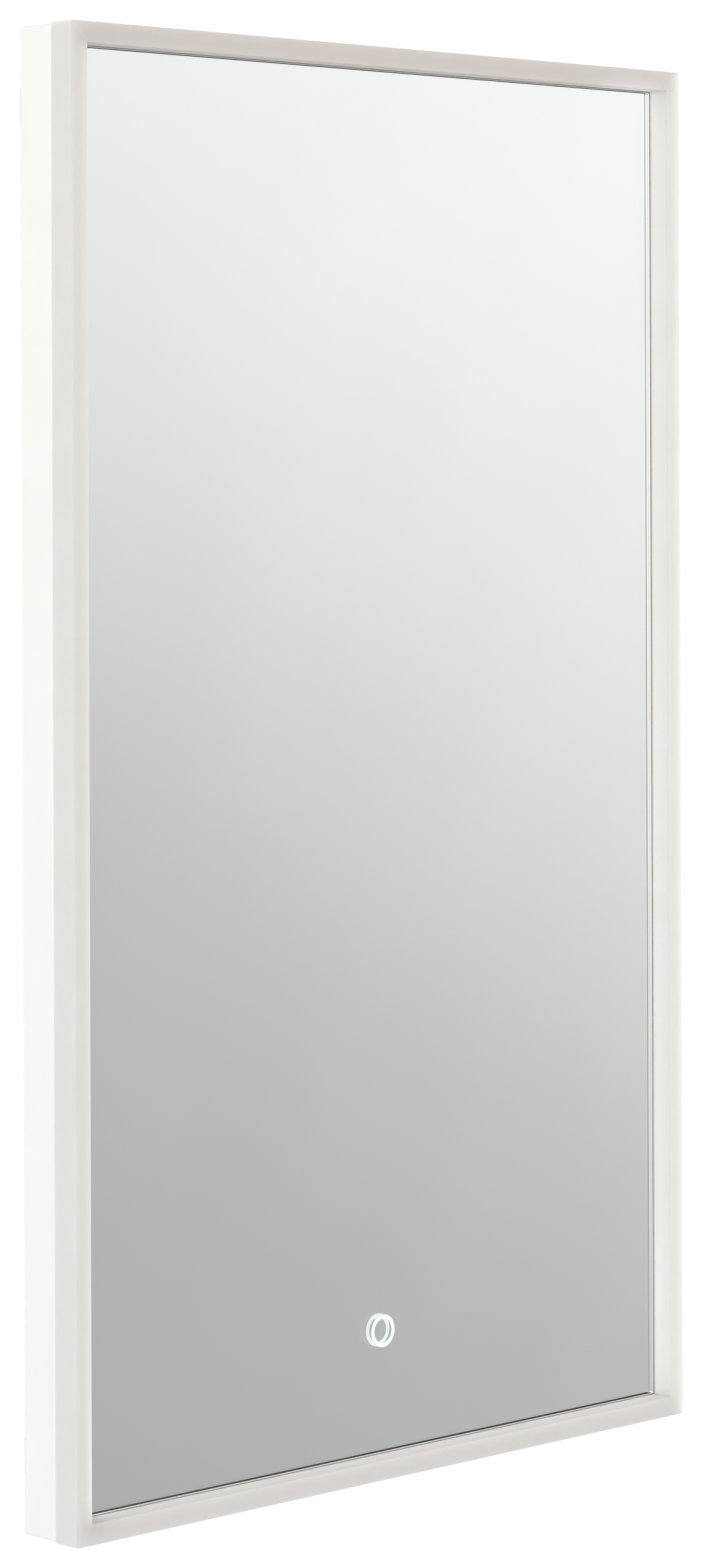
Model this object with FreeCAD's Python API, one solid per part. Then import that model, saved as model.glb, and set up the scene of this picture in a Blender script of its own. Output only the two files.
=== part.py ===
# Illuminated bathroom mirror, portrait format, hung on a rail that is screwed to the wall.
# A white aluminium chassis carries a mitred frame of frosted acrylic with LED strips behind it,
# and a silvered pane that is set back inside the frame.
#
# Millimetres. X runs to the viewer's right, Y into the wall and Z up. The wall is the plane Y = 0,
# and the origin lies midway between the two screw slots of the wall rail.
# A depth is a distance out from the wall, an inset is a distance in from an outer edge.
import FreeCAD
import Part
import math
import os

Vector = FreeCAD.Vector

# Overall size and place
FRAME_WIDTH = 600.0
FRAME_HEIGHT = 1000.0
FRAME_TOP_ABOVE_SCREWS = 120.0

# Depths, from the wall outwards
PAD_THICKNESS = 1.5
REAR_RECESS = 11.5
PLATE_THICKNESS = 1.0
CAVITY_DEPTH = 19.5
DIFFUSER_DEPTH = 21.0

# Frosted acrylic frame
DIFFUSER_WIDTH = 14.0
DIFFUSER_OVERHANG = 1.0
DIFFUSER_EDGE_RADIUS = 0.8
FRAME_CORNER_RADIUS = 2.0
TONGUE_SIDE_CLEARANCE = 0.3
TONGUE_WIRE_CLEARANCE = 1.0

# Aluminium chassis
CHASSIS_WALL = 1.6
CHASSIS_EDGE_RADIUS = 0.6
CHASSIS_CORNER_RADIUS = 1.5
REAR_LIP_WIDTH = 10.0
LEDGE_WIDTH = 24.0
CHANNEL_DEPTH = 10.0
CHANNEL_STEP = 0.4
FLANGE_WIDTH = 16.0
FLANGE_SETBACK = 1.6

# Mirror pane
GLASS_THICKNESS = 5.0
GLASS_GAP = 0.5
GLASS_FRONT_ARRIS = 0.6
GLASS_REAR_ARRIS = 0.1
GLASS_CORNER_RADIUS = 1.5
SILVER_THICKNESS = 0.1
TAPE_THICKNESS = 1.0
TAPE_WIDTH = 12.0
TAPE_INSET = 1.5
FILM_THICKNESS = 0.2
FILM_GAP = 1.0

# Touch switch
RING_OUTER_DIAMETER = 23.0
RING_STROKE = 3.0
RING_THICKNESS = 0.2
RING_ABOVE_BOTTOM = 100.0
SENSOR_SIZE = 36.0
SENSOR_DEPTH = 10.0
SENSOR_WALL = 1.2
SENSOR_CORNER_RADIUS = 4.0
SENSOR_BOARD_CLEARANCE = 0.3
BOARD_THICKNESS = 1.6

# Light strips
STRIP_THICKNESS = 0.8
STRIP_SIDE_CLEARANCE = 0.7
STRIP_CORNER_GAP = 14.0
CHIP_PITCH = 20.0
CHIP_LENGTH = 3.5
CHIP_WIDTH = 2.8
CHIP_HEIGHT = 0.8
CHIP_END_MARGIN = 10.0
JUMPER_DIAMETER = 1.4
JUMPER_OVERLAP = 3.0

# Wiring
LEAD_DIAMETER = 3.0
LEAD_BEND_RADIUS = 18.0
CORE_DIAMETER = 2.4
CORE_BEND_RADIUS = 8.0
CORE_SPACING = 5.0
WIRE_CLEARANCE = 0.2
LEAD_HOLE_CLEARANCE = 0.4
CLIP_SPACING = 120.0
CLIP_LENGTH = 8.0
CLIP_WALL = 2.5
TOUCH_LEAD_REACH = 40.0
TOUCH_LEAD_ENTRY = 3.0

# Corner keys
KEY_LEG = 60.0
KEY_WIDTH = 9.0
KEY_THICKNESS = 2.0
KEY_GAP = 1.0
KEY_SCREW_STEP = 18.0
KEY_END_MARGIN = 8.0

# Back plate and service cover
PLATE_LIP_GAP = 1.0
PLATE_CORNER_RADIUS = 6.0
PLATE_SCREW_SPACING = 200.0
SERVICE_BELOW_SCREWS = 150.0
SERVICE_WIDTH = 100.0
SERVICE_HEIGHT = 60.0
SERVICE_OVERLAP = 12.0
COVER_THICKNESS = 1.0
VENT_COUNT = 9
VENT_WIDTH = 4.0
VENT_LENGTH = 30.0
VENT_PITCH = 12.0
VENT_BELOW_DRIVER = 14.0

# Cable entry
CABLE_BORE_DIAMETER = 8.0
GROMMET_WALL = 2.0
GROMMET_FLANGE = 3.0
GROMMET_FLANGE_THICKNESS = 2.0
GROMMET_CLEARANCE = 0.1
GROMMET_EDGE_RADIUS = 0.8
CABLE_BELOW_TERMINAL = 18.0

# Terminal block on its bracket
TERMINAL_POLES = 3
TERMINAL_PITCH = 9.0
TERMINAL_LENGTH = 22.0
TERMINAL_HEIGHT = 11.0
TERMINAL_END = 7.0
TERMINAL_REAR_GAP = 2.0
TERMINAL_PORT_DEPTH = 8.0
CLAMP_SCREW_DIAMETER = 4.0
CLAMP_WELL_DEPTH = 5.0
CLAMP_SCREW_SINK = 0.6
BRACKET_THICKNESS = 1.2
BRACKET_BEND = 2.0
BRACKET_HEIGHT = 30.0
BRACKET_FOOT = 16.0
BRACKET_COVER_GAP = 4.0

# LED driver
DRIVER_LENGTH = 140.0
DRIVER_WIDTH = 46.0
DRIVER_WALL = 1.5
DRIVER_CORNER_RADIUS = 3.0
DRIVER_LID_LIP = 1.0
DRIVER_LID_CLEARANCE = 0.2
DRIVER_FILM_CLEARANCE = 2.2
DRIVER_DROP = 110.0
DRIVER_EAR_LENGTH = 13.0
DRIVER_EAR_WIDTH = 14.0
DRIVER_EAR_THICKNESS = 3.0
DRIVER_BOSS_HEIGHT = 3.0
DRIVER_BOSS_RADIUS = 3.0
DRIVER_BOARD_GAP = 4.0
DRIVER_PORT_OFFSET = 12.0
DRIVER_LEAD_ENTRY = 4.0
DRIVER_PART_HEADROOM = 1.5
DRIVER_PART_OFFSET = 32.0
DRIVER_PART_RADIUS = 1.0
DRIVER_PART_MARGIN = 1.0
TRANSFORMER_LENGTH = 22.0
TRANSFORMER_WIDTH = 20.0
CHOKE_SIZE = 14.0
CAPACITOR_DIAMETER = 9.0

# Hook rail
RAIL_THICKNESS = 2.0
RAIL_BEND = 2.0
WALL_RAIL_LENGTH = 400.0
WALL_RAIL_BELOW = 14.0
WALL_RAIL_STEP = 13.0
WALL_RAIL_LIP = 13.0
WALL_RAIL_OFFSET = 5.5
HANGER_LENGTH = 360.0
HANGER_LIP_DEPTH = 3.25
HANGER_LIP_GAP = 0.8
HANGER_WEB = 27.0
HANGER_RIVETS = 4
HANGER_END_MARGIN = 30.0
SLOT_SPACING = 300.0
SLOT_WIDTH = 5.5
SLOT_LENGTH = 12.0

# Wall pads
PAD_LENGTH = 24.0
PAD_WIDTH = 7.0
PAD_END_INSET = 40.0

# Fasteners
SCREW_DIAMETER = 3.0
SCREW_HEAD_DIAMETER = 6.0
SCREW_HEAD_HEIGHT = 1.8
SCREW_SHOULDER = 0.8
SCREW_CROWN_DIAMETER = 3.8
SCREW_EDGE_RADIUS = 0.3
SCREW_POINT_DIAMETER = 1.5
RECESS_DEPTH = 1.0
RECESS_WIDTH = 0.7
RECESS_LENGTH = 3.0
SCREW_CLEARANCE = 0.1
SCREW_TIP = 2.5
SCREW_TIP_GAP = 0.2
RIVET_DIAMETER = 3.2
RIVET_HEAD_DIAMETER = 6.4
RIVET_HEAD_HEIGHT = 1.3
RIVET_CROWN_DIAMETER = 4.0
RIVET_TAIL_DIAMETER = 4.8
RIVET_EDGE_RADIUS = 0.6

# Depths worked out from the stack
CHASSIS_REAR = PAD_THICKNESS
PLATE_REAR = CHASSIS_REAR + REAR_RECESS
PLATE_FRONT = PLATE_REAR + PLATE_THICKNESS
LEDGE_FRONT = PLATE_FRONT + CHASSIS_WALL
CHASSIS_FRONT = PLATE_FRONT + CAVITY_DEPTH
FRAME_FRONT = CHASSIS_FRONT + DIFFUSER_DEPTH
SHELF_FRONT = CHASSIS_FRONT - CHANNEL_DEPTH
SHELF_REAR = SHELF_FRONT - CHASSIS_WALL
FLANGE_FRONT = CHASSIS_FRONT - FLANGE_SETBACK
FLANGE_REAR = FLANGE_FRONT - CHASSIS_WALL
SILVER_BACK = FLANGE_FRONT + TAPE_THICKNESS
GLASS_BACK = SILVER_BACK + SILVER_THICKNESS
GLASS_FRONT = GLASS_BACK + GLASS_THICKNESS
FILM_BACK = SILVER_BACK - FILM_THICKNESS
STRIP_FRONT = SHELF_FRONT + STRIP_THICKNESS
LEAD_DEPTH = STRIP_FRONT + WIRE_CLEARANCE + LEAD_DIAMETER / 2
TONGUE_END = LEAD_DEPTH + LEAD_DIAMETER / 2 + TONGUE_WIRE_CLEARANCE
COVER_REAR = PLATE_REAR - COVER_THICKNESS
TERMINAL_REAR = PLATE_FRONT + TERMINAL_REAR_GAP
TERMINAL_FRONT = TERMINAL_REAR + TERMINAL_HEIGHT
DRIVER_LID_FRONT = FILM_BACK - DRIVER_FILM_CLEARANCE
DRIVER_RIM = DRIVER_LID_FRONT - DRIVER_WALL
DRIVER_FLOOR = PLATE_FRONT + DRIVER_WALL
DRIVER_BOARD_REAR = DRIVER_FLOOR + DRIVER_BOSS_HEIGHT
DRIVER_BOARD_FRONT = DRIVER_BOARD_REAR + BOARD_THICKNESS

# Outlines worked out from the frame
CENTRE_Z = FRAME_TOP_ABOVE_SCREWS - FRAME_HEIGHT / 2
CHASSIS_WIDTH = FRAME_WIDTH - 2 * DIFFUSER_OVERHANG
CHASSIS_HEIGHT = FRAME_HEIGHT - 2 * DIFFUSER_OVERHANG
CHANNEL_WIDTH = DIFFUSER_WIDTH - DIFFUSER_OVERHANG - 2 * CHASSIS_WALL - CHANNEL_STEP
CHANNEL_INNER = CHASSIS_WALL + CHANNEL_WIDTH
FLANGE_ROOT = CHANNEL_INNER + CHASSIS_WALL
FLANGE_EDGE = FLANGE_ROOT + FLANGE_WIDTH
GLASS_INSET = DIFFUSER_WIDTH + GLASS_GAP
GLASS_WIDTH = FRAME_WIDTH - 2 * GLASS_INSET
GLASS_HEIGHT = FRAME_HEIGHT - 2 * GLASS_INSET
RING_Z = CENTRE_Z - FRAME_HEIGHT / 2 + RING_ABOVE_BOTTOM
PLATE_INSET = REAR_LIP_WIDTH + PLATE_LIP_GAP
PLATE_SCREW_INSET = (PLATE_INSET + LEDGE_WIDTH) / 2
KEY_INSET = FLANGE_ROOT + KEY_GAP
SERVICE_Z = -SERVICE_BELOW_SCREWS
TERMINAL_WIDTH = TERMINAL_POLES * TERMINAL_PITCH + 2 * TERMINAL_END
HOLE_RADIUS = SCREW_DIAMETER / 2 + SCREW_CLEARANCE
RIVET_HOLE_RADIUS = RIVET_DIAMETER / 2 + SCREW_CLEARANCE

# The LED lead leaves the driver level with a gap between two chips of the right-hand strip.
LED_LEAD_STEPS = round((SERVICE_Z - DRIVER_DROP + DRIVER_PORT_OFFSET - CENTRE_Z) / CHIP_PITCH)
LED_LEAD_Z = CENTRE_Z + LED_LEAD_STEPS * CHIP_PITCH
DRIVER_Z = LED_LEAD_Z - DRIVER_PORT_OFFSET
TOUCH_PORT_Z = DRIVER_Z - DRIVER_PORT_OFFSET

SIDES = {"bottom": 0, "left": 90, "top": 180, "right": 270}
CORNERS = [(-1, 1), (1, 1), (1, -1), (-1, -1)]

# A length below this counts as nothing.
TINY = 1e-6


# Shapes in general

def corner_arc(before, corner, after, radius):
    """Start, middle and end of the arc that rounds a corner between its two neighbours."""
    arrive = before - corner
    leave = after - corner
    arrive.normalize()
    leave.normalize()
    half = arrive.getAngle(leave) / 2
    middle = arrive + leave
    middle.normalize()
    reach = radius / math.tan(half)
    rise = radius / math.sin(half) - radius
    return corner + arrive * reach, corner + middle * rise, corner + leave * reach


def outline_edges(points, place):
    """Edges of a closed outline. A point is (a, b), or (a, b, radius) for a rounded corner."""
    corners = [Vector(point[0], point[1], 0) for point in points]
    count = len(points)
    stops = []
    for i, point in enumerate(points):
        radius = point[2] if len(point) > 2 else 0.0
        if radius > 0:
            stops.append(corner_arc(corners[i - 1], corners[i], corners[(i + 1) % count], radius))
        else:
            stops.append([corners[i]])
    edges = []
    for i, stop in enumerate(stops):
        if len(stop) > 1:
            edges.append(Part.Arc(*[place(p.x, p.y) for p in stop]).toShape())
        run = (stop[-1], stops[(i + 1) % count][0])
        if run[0].distanceToPoint(run[1]) > TINY:
            edges.append(Part.LineSegment(*[place(p.x, p.y) for p in run]).toShape())
    return edges


def outline_face(points, place):
    """Flat face inside a closed outline."""
    return Part.Face(Part.Wire(outline_edges(points, place)))


def plate(points, near, far):
    """Solid between two depths, with an outline in X and Z."""
    base = outline_face(points, lambda x, z: Vector(x, -near, z))
    return base.extrude(Vector(0, near - far, 0))


def rectangle(width, height, radius=0.0, x=0.0, z=0.0):
    """Corner points of a rectangle round (x, z), with its corners rounded."""
    left = x - width / 2
    right = x + width / 2
    low = z - height / 2
    high = z + height / 2
    return [(left, low, radius), (right, low, radius), (right, high, radius), (left, high, radius)]


def rod(x, z, radius, near, far):
    """Round bar along the depth."""
    return Part.makeCylinder(radius, far - near, Vector(x, -near, z), Vector(0, -1, 0))


def bar_between(start, end, radius):
    """Round bar from one point to another."""
    run = end - start
    return Part.makeCylinder(radius, run.Length, start, run)


def centred_sheet(width, height, radius, near, far):
    """Rectangular sheet round the mirror's centre, between two depths."""
    return plate(rectangle(width, height, radius, 0, CENTRE_Z), near, far)


def side_lengths(side, width, height):
    """Length along a side of a width by height outline, and the distance across to the other side."""
    if side in ("bottom", "top"):
        return width, height
    return height, width


def turn_to_side(shape, side):
    """Turn a shape made for the bottom edge, about the mirror's centre, to its own side."""
    shape.rotate(Vector(0, 0, 0), Vector(0, 1, 0), SIDES[side])
    shape.translate(Vector(0, 0, CENTRE_Z))
    return shape


def side_point(side, along, inset):
    """X and Z of a point given along a side of the chassis and in from its outer face."""
    across = side_lengths(side, CHASSIS_WIDTH, CHASSIS_HEIGHT)[1]
    turn = math.radians(SIDES[side])
    z = inset - across / 2
    return (along * math.cos(turn) + z * math.sin(turn),
            CENTRE_Z - along * math.sin(turn) + z * math.cos(turn))


def corner_point(corner, a, b):
    """X and Z of a point a in from the side and b in from the end of the chassis, at one corner."""
    return (corner[0] * (CHASSIS_WIDTH / 2 - a), CENTRE_Z + corner[1] * (CHASSIS_HEIGHT / 2 - b))


def side_box(side, length, inset, width, near, far, along=0.0):
    """Box along one side, at an inset from the chassis's outer face."""
    across = side_lengths(side, CHASSIS_WIDTH, CHASSIS_HEIGHT)[1]
    points = rectangle(length, width, 0, along, inset + width / 2 - across / 2)
    return turn_to_side(plate(points, near, far), side)


def mitred_bar(side, width, height, section, corner_radius):
    """Bar of a given section on one side of a width by height outline, mitred at both ends."""
    along, across = side_lengths(side, width, height)
    insets = [point[0] for point in section]
    depths = [point[1] for point in section]
    reach = max(insets)
    near = min(depths)
    far = max(depths)
    face = outline_face(section, lambda inset, depth: Vector(-along / 2, -depth, inset - across / 2))
    bar = face.extrude(Vector(along, 0, 0))
    mitre = plate([(-along / 2, -across / 2), (along / 2, -across / 2),
                   (along / 2 - reach, reach - across / 2), (reach - along / 2, reach - across / 2)],
                  near, far)
    rounded = plate(rectangle(along, across, corner_radius), near, far)
    return turn_to_side(bar.common(mitre.common(rounded)), side)


def bent_sheet(points, thickness, bend, place, push):
    """Folded strip of sheet metal along a middle line, with its bends rounded."""
    middle = [Vector(a, b, 0) for a, b in points]
    runs = []
    for start, end in zip(middle, middle[1:]):
        run = end - start
        run.normalize()
        runs.append(run)
    faces = {1: [], -1: []}
    for side in (1, -1):
        for i, point in enumerate(middle):
            first = runs[max(i - 1, 0)]
            second = runs[min(i, len(runs) - 1)]
            normal = Vector(-first.y - second.y, first.x + second.x, 0) * (1 / (1 + first.dot(second)))
            corner = point + normal * (side * thickness / 2)
            turn = first.cross(second).z
            radius = 0.0
            if abs(turn) > TINY:
                radius = bend - side * math.copysign(thickness / 2, turn)
            faces[side].append((corner.x, corner.y, radius))
    section = outline_face(faces[1] + faces[-1][::-1], place)
    return section.extrude(push)


def tube(route, diameter, bend):
    """Wire along straight runs joined by tangent arcs."""
    if len(route) == 2:
        return bar_between(route[0], route[1], diameter / 2)
    edges = []
    start = route[0]
    for before, corner, after in zip(route, route[1:], route[2:]):
        arc_start, arc_middle, arc_end = corner_arc(before, corner, after, bend)
        edges.append(Part.LineSegment(start, arc_start).toShape())
        edges.append(Part.Arc(arc_start, arc_middle, arc_end).toShape())
        start = arc_end
    edges.append(Part.LineSegment(start, route[-1]).toShape())
    path = Part.Wire(edges)
    circle = Part.Wire(Part.Circle(route[0], route[1] - route[0], diameter / 2).toShape())
    wire = path.makePipeShell([circle], True, False)
    expected = math.pi * diameter ** 2 / 4 * path.Length
    share = round(wire.Volume / expected, 4)
    print("wire of", round(path.Length), "mm, bends of", bend, "mm,",
          "volume over section times length", share)
    return wire


def turned(profile, x, z):
    """Solid turned about an axis along the depth. Its profile is given in radius and depth."""
    face = outline_face(profile, lambda radius, depth: Vector(x + radius, -depth, z))
    return face.revolve(Vector(x, 0, z), Vector(0, 1, 0), 360)


def screw(x, z, seat, length, outward):
    """Pan-head screw with a cross recess. Outward is 1 for a head to the front, -1 to the wall."""
    head = SCREW_HEAD_DIAMETER / 2
    shank = SCREW_DIAMETER / 2
    point = SCREW_POINT_DIAMETER / 2
    line = [(0, -length), (point, -length), (shank, point - length), (shank, 0), (head, 0),
            (head, SCREW_SHOULDER, SCREW_EDGE_RADIUS),
            (SCREW_CROWN_DIAMETER / 2, SCREW_HEAD_HEIGHT, SCREW_EDGE_RADIUS),
            (0, SCREW_HEAD_HEIGHT)]
    profile = [(corner[0], seat + outward * corner[1]) + corner[2:] for corner in line]
    crown = seat + outward * SCREW_HEAD_HEIGHT
    recess_floor = crown - outward * RECESS_DEPTH
    near = min(crown, recess_floor)
    far = max(crown, recess_floor)
    level = plate(rectangle(RECESS_LENGTH, RECESS_WIDTH, 0, x, z), near, far)
    upright = plate(rectangle(RECESS_WIDTH, RECESS_LENGTH, 0, x, z), near, far)
    return turned(profile, x, z).cut([level, upright])


def rivet(x, z, near, far):
    """Blind rivet through the sheets between two depths, with its head to the wall."""
    shank = RIVET_DIAMETER / 2
    crown = RIVET_CROWN_DIAMETER / 2
    tail = RIVET_TAIL_DIAMETER / 2
    top = near - RIVET_HEAD_HEIGHT
    end = far + RIVET_HEAD_HEIGHT
    profile = [(0, top), (crown, top, RIVET_EDGE_RADIUS), (RIVET_HEAD_DIAMETER / 2, near), (shank, near),
               (shank, far), (tail, far), (tail, end, RIVET_EDGE_RADIUS), (0, end)]
    return turned(profile, x, z)


# Fastener places, shared by the pieces that are drilled and the fasteners themselves

def key_screw_places(corner):
    """X and Z of one corner key's screws, two on each leg."""
    reach = KEY_INSET + KEY_LEG - KEY_END_MARGIN
    middle = KEY_INSET + KEY_WIDTH / 2
    places = []
    for run in (reach, reach - KEY_SCREW_STEP):
        for a, b in ((run, middle), (middle, run)):
            places.append(corner_point(corner, a, b))
    return places


def plate_screw_places(side):
    """X and Z of the back plate's screws on one side, evenly spaced about its middle."""
    along = side_lengths(side, CHASSIS_WIDTH, CHASSIS_HEIGHT)[0]
    free = along - 2 * (KEY_INSET + KEY_LEG + SCREW_HEAD_DIAMETER)
    count = int(free / PLATE_SCREW_SPACING) + 1
    first = -(count - 1) * PLATE_SCREW_SPACING / 2
    return [side_point(side, first + i * PLATE_SCREW_SPACING, PLATE_SCREW_INSET) for i in range(count)]


def cover_screw_places():
    """X and Z of the service cover's four screws."""
    x = (SERVICE_WIDTH + SERVICE_OVERLAP) / 2
    z = (SERVICE_HEIGHT + SERVICE_OVERLAP) / 2
    return [(sx * x, SERVICE_Z + sz * z) for sx, sz in CORNERS]


def bracket_wall_x():
    """Distance from the middle to the middle of each upright of the terminal bracket."""
    return SERVICE_WIDTH / 2 + SERVICE_OVERLAP + BRACKET_COVER_GAP + BRACKET_THICKNESS / 2


def bracket_rivet_places():
    """X and Z of the rivets, two on each foot of the terminal bracket."""
    x = bracket_wall_x() + BRACKET_FOOT / 2
    z = BRACKET_HEIGHT / 4
    return [(sx * x, SERVICE_Z + sz * z) for sx, sz in CORNERS]


def terminal_fixing_places():
    """X and Z of the two screws that hold the terminal block to its bracket."""
    x = TERMINAL_WIDTH / 2 - TERMINAL_END / 2
    return [(-x, SERVICE_Z), (x, SERVICE_Z)]


def pole_x(pole):
    """X of one pole of the terminal block."""
    return (pole - (TERMINAL_POLES - 1) / 2) * TERMINAL_PITCH


def driver_screw_places():
    """X and Z of the screws in the driver's two ears."""
    x = DRIVER_LENGTH / 2 + DRIVER_EAR_LENGTH / 2
    return [(-x, DRIVER_Z), (x, DRIVER_Z)]


def hanger_rivet_places():
    """X and Z of the rivets that hold the hanger rail to the back plate."""
    span = HANGER_LENGTH - 2 * HANGER_END_MARGIN
    z = hanger_step_z() + RAIL_THICKNESS / 2 + HANGER_WEB / 2
    return [(i * span / (HANGER_RIVETS - 1) - span / 2, z) for i in range(HANGER_RIVETS)]


def hanger_step_z():
    """Middle height of the hanger's step, which sits on the top edge of the wall rail's lip."""
    return WALL_RAIL_STEP + WALL_RAIL_LIP + RAIL_THICKNESS / 2


# Wall rail and hanger

def wall_rail():
    """Folded rail that is screwed to the wall through two slots. Its lip stands off the wall."""
    web = RAIL_THICKNESS / 2
    lip = web + WALL_RAIL_OFFSET
    line = [(web, -WALL_RAIL_BELOW), (web, WALL_RAIL_STEP), (lip, WALL_RAIL_STEP),
            (lip, WALL_RAIL_STEP + WALL_RAIL_LIP)]
    rail = bent_sheet(line, RAIL_THICKNESS, RAIL_BEND,
                      lambda depth, z: Vector(-WALL_RAIL_LENGTH / 2, -depth, z),
                      Vector(WALL_RAIL_LENGTH, 0, 0))
    slots = []
    for x in (-SLOT_SPACING / 2, SLOT_SPACING / 2):
        slots.append(plate(rectangle(SLOT_LENGTH, SLOT_WIDTH, SLOT_WIDTH / 2, x, 0), 0, RAIL_THICKNESS))
    return rail.cut(slots)


def hanger_rail():
    """Folded rail on the back plate. Its lip drops behind the wall rail's lip."""
    step = hanger_step_z()
    web = PLATE_REAR - RAIL_THICKNESS / 2
    low = WALL_RAIL_STEP + RAIL_THICKNESS / 2 + HANGER_LIP_GAP
    line = [(HANGER_LIP_DEPTH, low), (HANGER_LIP_DEPTH, step), (web, step), (web, step + HANGER_WEB)]
    rail = bent_sheet(line, RAIL_THICKNESS, RAIL_BEND,
                      lambda depth, z: Vector(-HANGER_LENGTH / 2, -depth, z),
                      Vector(HANGER_LENGTH, 0, 0))
    near = PLATE_REAR - RAIL_THICKNESS
    return rail.cut([rod(x, z, RIVET_HOLE_RADIUS, near, PLATE_REAR) for x, z in hanger_rivet_places()])


def hanger_rivets():
    """Rivets through the hanger rail and the back plate."""
    return [rivet(x, z, PLATE_REAR - RAIL_THICKNESS, PLATE_FRONT) for x, z in hanger_rivet_places()]


def wall_pads():
    """Four rubber pads on the chassis's rear lip."""
    inset = (REAR_LIP_WIDTH - PAD_WIDTH) / 2
    along = CHASSIS_HEIGHT / 2 - PAD_END_INSET - PAD_LENGTH / 2
    return [side_box(side, PAD_LENGTH, inset, PAD_WIDTH, 0, PAD_THICKNESS, end * along)
            for side in ("left", "right") for end in (-1, 1)]


# Chassis

def chassis_section():
    """Section of the extrusion: outer wall, rear lip, plate ledge, light channel and pane flange."""
    return [
        (0, CHASSIS_REAR, CHASSIS_EDGE_RADIUS),
        (REAR_LIP_WIDTH, CHASSIS_REAR),
        (REAR_LIP_WIDTH, CHASSIS_REAR + CHASSIS_WALL),
        (CHASSIS_WALL, CHASSIS_REAR + CHASSIS_WALL),
        (CHASSIS_WALL, PLATE_FRONT),
        (LEDGE_WIDTH, PLATE_FRONT),
        (LEDGE_WIDTH, LEDGE_FRONT),
        (CHASSIS_WALL, LEDGE_FRONT),
        (CHASSIS_WALL, SHELF_REAR),
        (FLANGE_ROOT, SHELF_REAR),
        (FLANGE_ROOT, FLANGE_REAR),
        (FLANGE_EDGE, FLANGE_REAR),
        (FLANGE_EDGE, FLANGE_FRONT),
        (FLANGE_ROOT, FLANGE_FRONT),
        (FLANGE_ROOT, CHASSIS_FRONT),
        (CHANNEL_INNER, CHASSIS_FRONT),
        (CHANNEL_INNER, SHELF_FRONT),
        (CHASSIS_WALL, SHELF_FRONT),
        (CHASSIS_WALL, CHASSIS_FRONT),
        (0, CHASSIS_FRONT, CHASSIS_EDGE_RADIUS),
    ]


def chassis_rail(side):
    """One mitred rail, drilled for the corner keys, the back plate and, on the right, the LED lead."""
    rail = mitred_bar(side, CHASSIS_WIDTH, CHASSIS_HEIGHT, chassis_section(), CHASSIS_CORNER_RADIUS)
    places = list(plate_screw_places(side))
    for corner in CORNERS:
        places += key_screw_places(corner)
    holes = [rod(x, z, HOLE_RADIUS, PLATE_FRONT, LEDGE_FRONT) for x, z in places]
    if side == "right":
        radius = LEAD_DIAMETER / 2 + LEAD_HOLE_CLEARANCE
        outer = Vector(CHASSIS_WIDTH / 2 - CHANNEL_INNER, -LEAD_DEPTH, LED_LEAD_Z)
        inner = outer - Vector(CHASSIS_WALL, 0, 0)
        holes.append(bar_between(inner, outer, radius))
    return rail.cut(holes)


def corner_key(corner):
    """Flat angle plate on the ledges of two rails."""
    far = KEY_INSET + KEY_LEG
    inner = KEY_INSET + KEY_WIDTH
    near = KEY_INSET
    line = [(near, near), (far, near), (far, inner), (inner, inner), (inner, far), (near, far)]
    points = [corner_point(corner, a, b) for a, b in line]
    front = LEDGE_FRONT + KEY_THICKNESS
    key = plate(points, LEDGE_FRONT, front)
    return key.cut([rod(x, z, HOLE_RADIUS, LEDGE_FRONT, front) for x, z in key_screw_places(corner)])


def corner_key_screws():
    """Screws from the inside through the keys into the ledges."""
    length = KEY_THICKNESS + CHASSIS_WALL - SCREW_TIP_GAP
    return [screw(x, z, LEDGE_FRONT + KEY_THICKNESS, length, 1)
            for corner in CORNERS for x, z in key_screw_places(corner)]


# Back plate and service cover

def back_plate():
    """Rear sheet with the service opening, cooling slots and all its holes."""
    width = CHASSIS_WIDTH - 2 * PLATE_INSET
    height = CHASSIS_HEIGHT - 2 * PLATE_INSET
    sheet = centred_sheet(width, height, PLATE_CORNER_RADIUS, PLATE_REAR, PLATE_FRONT)
    cuts = [plate(rectangle(SERVICE_WIDTH, SERVICE_HEIGHT, PLATE_CORNER_RADIUS, 0, SERVICE_Z),
                  PLATE_REAR, PLATE_FRONT)]
    screws = cover_screw_places() + driver_screw_places()
    for side in SIDES:
        screws += plate_screw_places(side)
    cuts += [rod(x, z, HOLE_RADIUS, PLATE_REAR, PLATE_FRONT) for x, z in screws]
    rivets = bracket_rivet_places() + hanger_rivet_places()
    cuts += [rod(x, z, RIVET_HOLE_RADIUS, PLATE_REAR, PLATE_FRONT) for x, z in rivets]
    vent_z = DRIVER_Z - DRIVER_WIDTH / 2 - VENT_BELOW_DRIVER - VENT_LENGTH / 2
    for i in range(VENT_COUNT):
        x = (i - (VENT_COUNT - 1) / 2) * VENT_PITCH
        vent = rectangle(VENT_WIDTH, VENT_LENGTH, VENT_WIDTH / 2, x, vent_z)
        cuts.append(plate(vent, PLATE_REAR, PLATE_FRONT))
    return sheet.cut(cuts)


def back_plate_screws():
    """Screws from behind through the back plate into the chassis ledge."""
    length = PLATE_THICKNESS + CHASSIS_WALL + SCREW_TIP
    return [screw(x, z, PLATE_REAR, length, -1) for side in SIDES for x, z in plate_screw_places(side)]


def grommet_z():
    """Height of the cable entry, below the terminal block."""
    return SERVICE_Z - CABLE_BELOW_TERMINAL


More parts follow.
